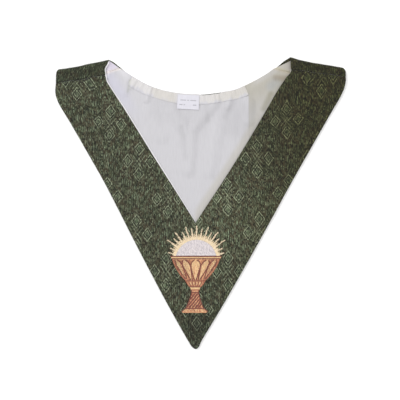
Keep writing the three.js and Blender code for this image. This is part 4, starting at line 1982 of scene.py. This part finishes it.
@dataclass(frozen=True)
class Lobe:
    """One gadroon of the bowl, a drop shape from its top to its foot."""

    top: float
    foot: float
    half: float
    high: float = 6.2
    low: float = 37.0

    def spine(self, share: Array) -> Array:
        """Gives how far its middle lies from the cup's axis."""
        return self.top + (self.foot - self.top) * share**0.92

    def width(self, share: Array) -> Array:
        """Gives its half width at shares of its height.

        Args:
            share: shares of its height, 0 at its top.
        Returns:
            The half width at each share.
        """
        share = np.clip(share, 0, 1)
        head = np.sqrt(np.clip(1 - (1 - share / 0.28) ** 2, 0, 1))
        tail = 1 - 0.86 * np.clip((share - 0.28) / 0.72, 0, 1) ** 1.2
        return self.half * np.where(share < 0.28, head, tail)


# Columns: the middle at the top and at the foot, the half width, and the drops of both ends.
LOBES = (
    Lobe(-30.6, -15.0, 4.3, 5.8, 35.0),
    Lobe(-18.2, -6.4, 5.5),
    Lobe(-0.2, -0.4, 7.2),
    Lobe(17.8, 5.6, 5.5),
    Lobe(30.0, 14.4, 4.3, 5.8, 35.0),
)


@dataclass
class Emblem:
    """A cup under a half host with rays, in satin and fill stitches."""

    rng: np.random.Generator
    x: float = MIDDLE_X
    rim: float = -81.5
    radius: float = 32.0
    sunk: float = 6.8
    rays: int = 17
    first_ray: float = 16.0
    skew: float = 0.026

    def on_ring(self, radius: float, angle: float) -> Array:
        """Gives a plan point at a distance and an angle from the host's centre."""
        return self.on_cup(radius * math.cos(angle), self.sunk - radius * math.sin(angle))

    def on_cup(self, across: float, drop: float) -> Array:
        """Gives a plan point of the cup from its axis and its rim."""
        return np.array([self.x + across - self.skew * drop, self.rim - drop])

    def host(self) -> Stitches:
        """Fills the half host with short white stitches in bricks.

        Returns:
            The laid stitches.
        """
        made = Stitches("host_stitches", self.rng)
        pitch, brick, third, long = 0.45, 2.6, 0.87, 2.7
        for row in range(-71, 72):
            across = row * pitch
            for column in range(-1, 14):
                drop = column * brick + (row % 3) * third
                end = drop + long
                if across**2 + (end + self.sunk) ** 2 > self.radius**2 or drop < 0.2:
                    end = math.sqrt(max(self.radius**2 - across**2, 0)) - self.sunk
                drop = max(drop, 0.4)
                if end - drop < 0.7:
                    continue
                tone = GREY if self.rng.random() < 0.3 else WHITE
                lean = 0.3 * self.rng.standard_normal()
                start = self.on_cup(across - lean, -drop)
                made.add(start, self.on_cup(across + lean, -min(end, drop + long)), 0.92, 0.4, tone)
        return made

    def glory(self) -> Stitches:
        """Lays the glowing band round the host and its beaded rays.

        Returns:
            The laid stitches.
        """
        made = Stitches("glory_stitches", self.rng)
        start = math.asin(self.sunk / (self.radius + 3))
        for angle in np.arange(start, math.pi - start, 0.0145):
            inner = self.radius - 0.4 + 0.5 * self.rng.random()
            outer = self.radius + 3.9 + 3.4 * self.rng.random() ** 2
            tone = CREAM if self.rng.random() < 0.6 else BUFF
            made.add(self.on_ring(inner, angle), self.on_ring(outer, angle), 0.66, 0.4, tone)
        span = math.radians(180 - 2 * self.first_ray)
        for index in range(self.rays):
            angle = math.radians(self.first_ray + self.rng.uniform(-1.1, 1.1))
            angle += span * index / (self.rays - 1)
            full = (49.5 if index % 2 else 54.5) + self.rng.uniform(-1.2, 1.0)
            reach = 45.0 if min(index, self.rays - 1 - index) < 2 else full
            neck = self.radius + 4 + (reach - self.radius) * 0.36
            root = [self.on_ring(radius, angle) for radius in (self.radius + 3.2, neck)]
            made.satin(root, (3.8, 2.2), CREAM, 0.5, 0.3)
            bend = self.rng.uniform(-0.018, 0.018)
            thin = [self.on_ring(neck, angle), self.on_ring((neck + reach) / 2, angle + bend)]
            thin.append(self.on_ring(reach - 1.6, angle))
            made.satin(thin, (2.2, 1.5), CREAM, 0.55, 0.4)
            bead = [self.on_ring(radius, angle) for radius in (reach - 1.9, reach - 0.3)]
            made.satin(bead, (2.3, 1.9), CREAM, 0.7, 0.15)
            if index + 1 < self.rays:
                between = angle + span / (self.rays - 1) / 2
                tip = self.radius + 7.0 + 4.0 * self.rng.random()
                short = [self.on_ring(radius, between) for radius in (self.radius + 3, tip)]
                made.satin(short, (2.4, 1.1), BUFF, 0.5, 0.35)
        return made

    def tone(self, across: float, drop: float) -> Sequence[float]:
        """Chooses the thread of a fill stitch on the cup.

        Args:
            across: its distance from the axis.
            drop: its distance under the rim.
        Returns:
            A linear colour.
        """
        chance = self.rng.random()
        if drop < 5 or 48 < drop < 52.4:
            return GOLD
        if drop < 38.4:
            for lobe in LOBES:
                share = (drop - lobe.high) / (lobe.low - lobe.high)
                away = abs(across - float(lobe.spine(np.array(max(share, 0.0)))))
                if 0 < share < 1 and away < float(lobe.width(np.array(share))):
                    return GOLD if chance < 0.78 else AMBER if chance < 0.93 else COPPER
            return AMBER if chance < 0.62 else COPPER if chance < 0.89 else DARK
        if drop < 48:
            return AMBER if chance < 0.6 else COPPER
        if drop < 81.5:
            return GOLD if chance < 0.08 else AMBER if chance < 0.48 else COPPER if chance < 0.86 else DARK
        return GOLD if chance < 0.3 else AMBER if chance < 0.64 else COPPER if chance < 0.94 else DARK

    def cup_fill(self) -> Stitches:
        """Fills the cup with upright stitches in bricks.

        Returns:
            The laid stitches.
        """
        made = Stitches("cup_stitches", self.rng)
        pitch, long = 0.5, 2.5
        for row in range(-79, 80):
            across = row * pitch
            for column in range(36):
                drop = column * long + (row % 3) * long / 3
                end = min(drop + long, 87.8)
                inside = min(np.interp([drop, end], CUP[:, 0], CUP[:, 1]))
                if abs(across) > inside - 0.2 or end - drop < 0.6:
                    continue
                middle = (drop + end) / 2
                lean = across / 39.0 * -1.1 if 5 < middle < 38 else 0.0
                start = self.on_cup(across - lean / 2, drop)
                made.add(start, self.on_cup(across + lean / 2, end), 0.64, 0.36, self.tone(across, middle))
        return made

    def cup_lines(self) -> Stitches:
        """Draws the cup's lines in dark copper satin: rim, lobes, knop, twisted stem and foot.

        Returns:
            The laid stitches.
        """
        made = Stitches("cup_lines", self.rng)
        rims = ((0.6, 39.4, DARK, 1.7), (2.4, 38.4, GOLD, 1.4), (4.2, 37.6, DARK, 1.5))
        for drop, half, tone, width in rims:
            made.satin([self.on_cup(-half, drop), self.on_cup(half, drop)], (width, width), tone, 0.62, 0.15)
        share = np.linspace(0.01, 1, 26)
        for lobe in LOBES:
            drop = lobe.high + (lobe.low - lobe.high) * share
            for side in (-1, 1):
                across = lobe.spine(share) + side * (lobe.width(share) + 0.35)
                inside = np.abs(across) < np.interp(drop, *CUP.T) - 0.4
                line = [self.on_cup(a, d) for a, d in zip(across[inside], drop[inside])]
                made.satin(line, (2.0, 1.7), DARK, 0.62, 0.28)
        for side in (-1, 1):
            edge = [self.on_cup(side * (half - 0.5), drop) for drop, half in CUP[2:8]]
            made.satin(edge, (1.2, 1.4), COPPER, 0.6, 0.15)
            for gap, low in ((9.2, 30.0), (25.4, 33.0)):
                rib = [self.on_cup(side * gap, 7), self.on_cup(side * (gap * 0.62 + 0.8), low)]
                made.satin(rib, (1.0, 0.7), COPPER, 0.6, 0.2)
            knop = [self.on_cup(side * (half - 0.5), drop) for drop, half in CUP[8:11]]
            made.satin(knop, (1.2, 1.2), COPPER, 0.6, 0.15)
            stem = [self.on_cup(side * (half - 0.4), drop) for drop, half in CUP[13:18]]
            made.satin(stem, (1.3, 1.3), DARK, 0.6, 0.15)
            foot = [self.on_cup(side * (half - 0.6), drop) for drop, half in CUP[18:21]]
            made.satin(foot, (1.1, 1.1), DARK, 0.6, 0.15)
        bands = (
            (38.6, 13.8, DARK), (47.8, 9.0, DARK), (52.4, 6.8, COPPER),
            (56.4, 5.6, DARK), (81.4, 14.8, DARK), (87.4, 18.2, AMBER),
        )
        for drop, half, tone in bands:
            made.satin([self.on_cup(-half, drop), self.on_cup(half, drop)], (1.4, 1.4), tone, 0.64, 0.15)
        for step in range(-2, 3):
            top, low = 5.2 * step, 3.1 * step
            made.satin([self.on_cup(top, 40), self.on_cup(low, 46.6)], (1.2, 1.0), DARK, 0.62, 0.15)
            spot = [self.on_cup((top + 2.6) * 0.95, 41), self.on_cup((top + 2.6) * 0.85, 44.6)]
            if step < 2:
                made.satin(spot, (2.4, 1.6), GOLD, 0.64, 0.1)
        for base in np.arange(52.0, 102.0, 5.9):
            line = []
            for across in np.linspace(-16, 16, 65):
                drop = base - 1.25 * across
                inside = abs(across) < float(np.interp(drop, CUP[:, 0], CUP[:, 1])) - 0.8
                if 57.0 < drop < 80.4 and inside:
                    line.append(self.on_cup(across, drop))
            if len(line) > 5:
                made.satin(line, (2.2, 1.8), DARK, 0.62, 0.12)
        return made

    def build(self) -> list[bpy.types.Object]:
        """Makes and dresses the whole emblem.

        Returns:
            Its pieces.
        """
        white = ThreadFinish("white_embroidery", 0.5).make()
        gold = ThreadFinish("gold_embroidery", 0.42).make()
        copper = ThreadFinish("copper_embroidery", 0.42).make()
        host, glory = self.host().build(), self.glory().build()
        fill, lines = self.cup_fill().build(), self.cup_lines().build()
        dress(host, white, "white_thread", "emblem_host")
        dress(glory, gold, "gold_thread", "emblem_glory")
        dress(fill, gold, "gold_thread", "emblem_cup")
        dress(lines, copper, "copper_thread")
        return [host, glory, fill, lines]


# ---- stage ---------------------------------------------------------------------------------------


@dataclass
class Stage:
    """A plain pale floor, soft studio light and the camera straight above."""

    view_width: float = 0.6207
    centre: tuple[float, float] = (-0.0012, 0.0054)
    height: float = 1.5
    sensor: float = 36.0
    floor_size: float = 8.0
    floor_drop: float = 0.0004
    sky: float = 0.52

    def floor(self) -> None:
        """Lays the floor just under the cloth."""
        deselect()
        bpy.ops.mesh.primitive_plane_add(size=self.floor_size, location=(0, 0, -self.floor_drop))
        made = bpy.context.object
        made.name = "floor"
        material, board = start_material("floor_paper", 0.9)
        grain = board.noise(board.node("ShaderNodeTexCoord", output="Object"), 40.0)
        colour = board.mix(grain, srgb(250, 250, 250), srgb(252, 252, 252))
        finish_material(board, colour, board.bump(grain, 0.02, 0.0002))
        made.data.materials.append(material)

    def light(
        self, name: str, place: tuple[float, float, float], size: float, power: float, colour: Sequence[float]
    ) -> None:
        """Hangs a square light that points at the garment.

        Args:
            name: its name.
            place: where it hangs.
            size: length of its sides.
            power: in watts.
            colour: linear colour.
        """
        deselect()
        bpy.ops.object.light_add(type="AREA", location=place)
        made = bpy.context.object
        made.name = name
        made.data.size = size
        made.data.energy = power
        made.data.color = colour
        made.rotation_euler = (-made.location).to_track_quat("-Z", "Y").to_euler()

    def camera(self) -> None:
        """Sets the camera straight above."""
        deselect()
        place = (*self.centre, self.height + FRONT_TOP * MM)
        bpy.ops.object.camera_add(location=place, rotation=(0, 0, 0))
        made = bpy.context.object
        made.data.lens = self.sensor * self.height / self.view_width
        made.data.sensor_width = self.sensor
        bpy.context.scene.camera = made

    def build(self) -> None:
        """Makes the stage."""
        self.camera()
        self.floor()
        self.light("key_light", (-1.2, 1.0, 1.7), 1.7, 27.5, (1.0, 0.99, 0.98))
        self.light("fill_light", (1.4, -0.8, 1.7), 1.8, 11.0, (1.0, 0.98, 0.95))
        self.light("top_light", (0.0, 0.3, 2.4), 2.4, 29.5, (1.0, 1.0, 1.0))
        world = bpy.data.worlds.new("studio")
        world.use_nodes = True
        background = world.node_tree.nodes["Background"]
        background.inputs["Color"].default_value = (1, 1, 1, 1)
        background.inputs["Strength"].default_value = self.sky
        bpy.context.scene.world = world
        bpy.context.scene.view_settings.view_transform = "Standard"


def main() -> None:
    """Builds the garment piece by piece and reports each one."""
    logging.basicConfig(level=logging.INFO, format="%(name)s %(message)s")
    rng = np.random.default_rng(SEED)
    Stage().build()
    Linings().build()
    Jacquard().build()
    NeckFacing().build()
    Label().build()
    Emblem(rng).build()


if __name__ == "__main__":
    main()
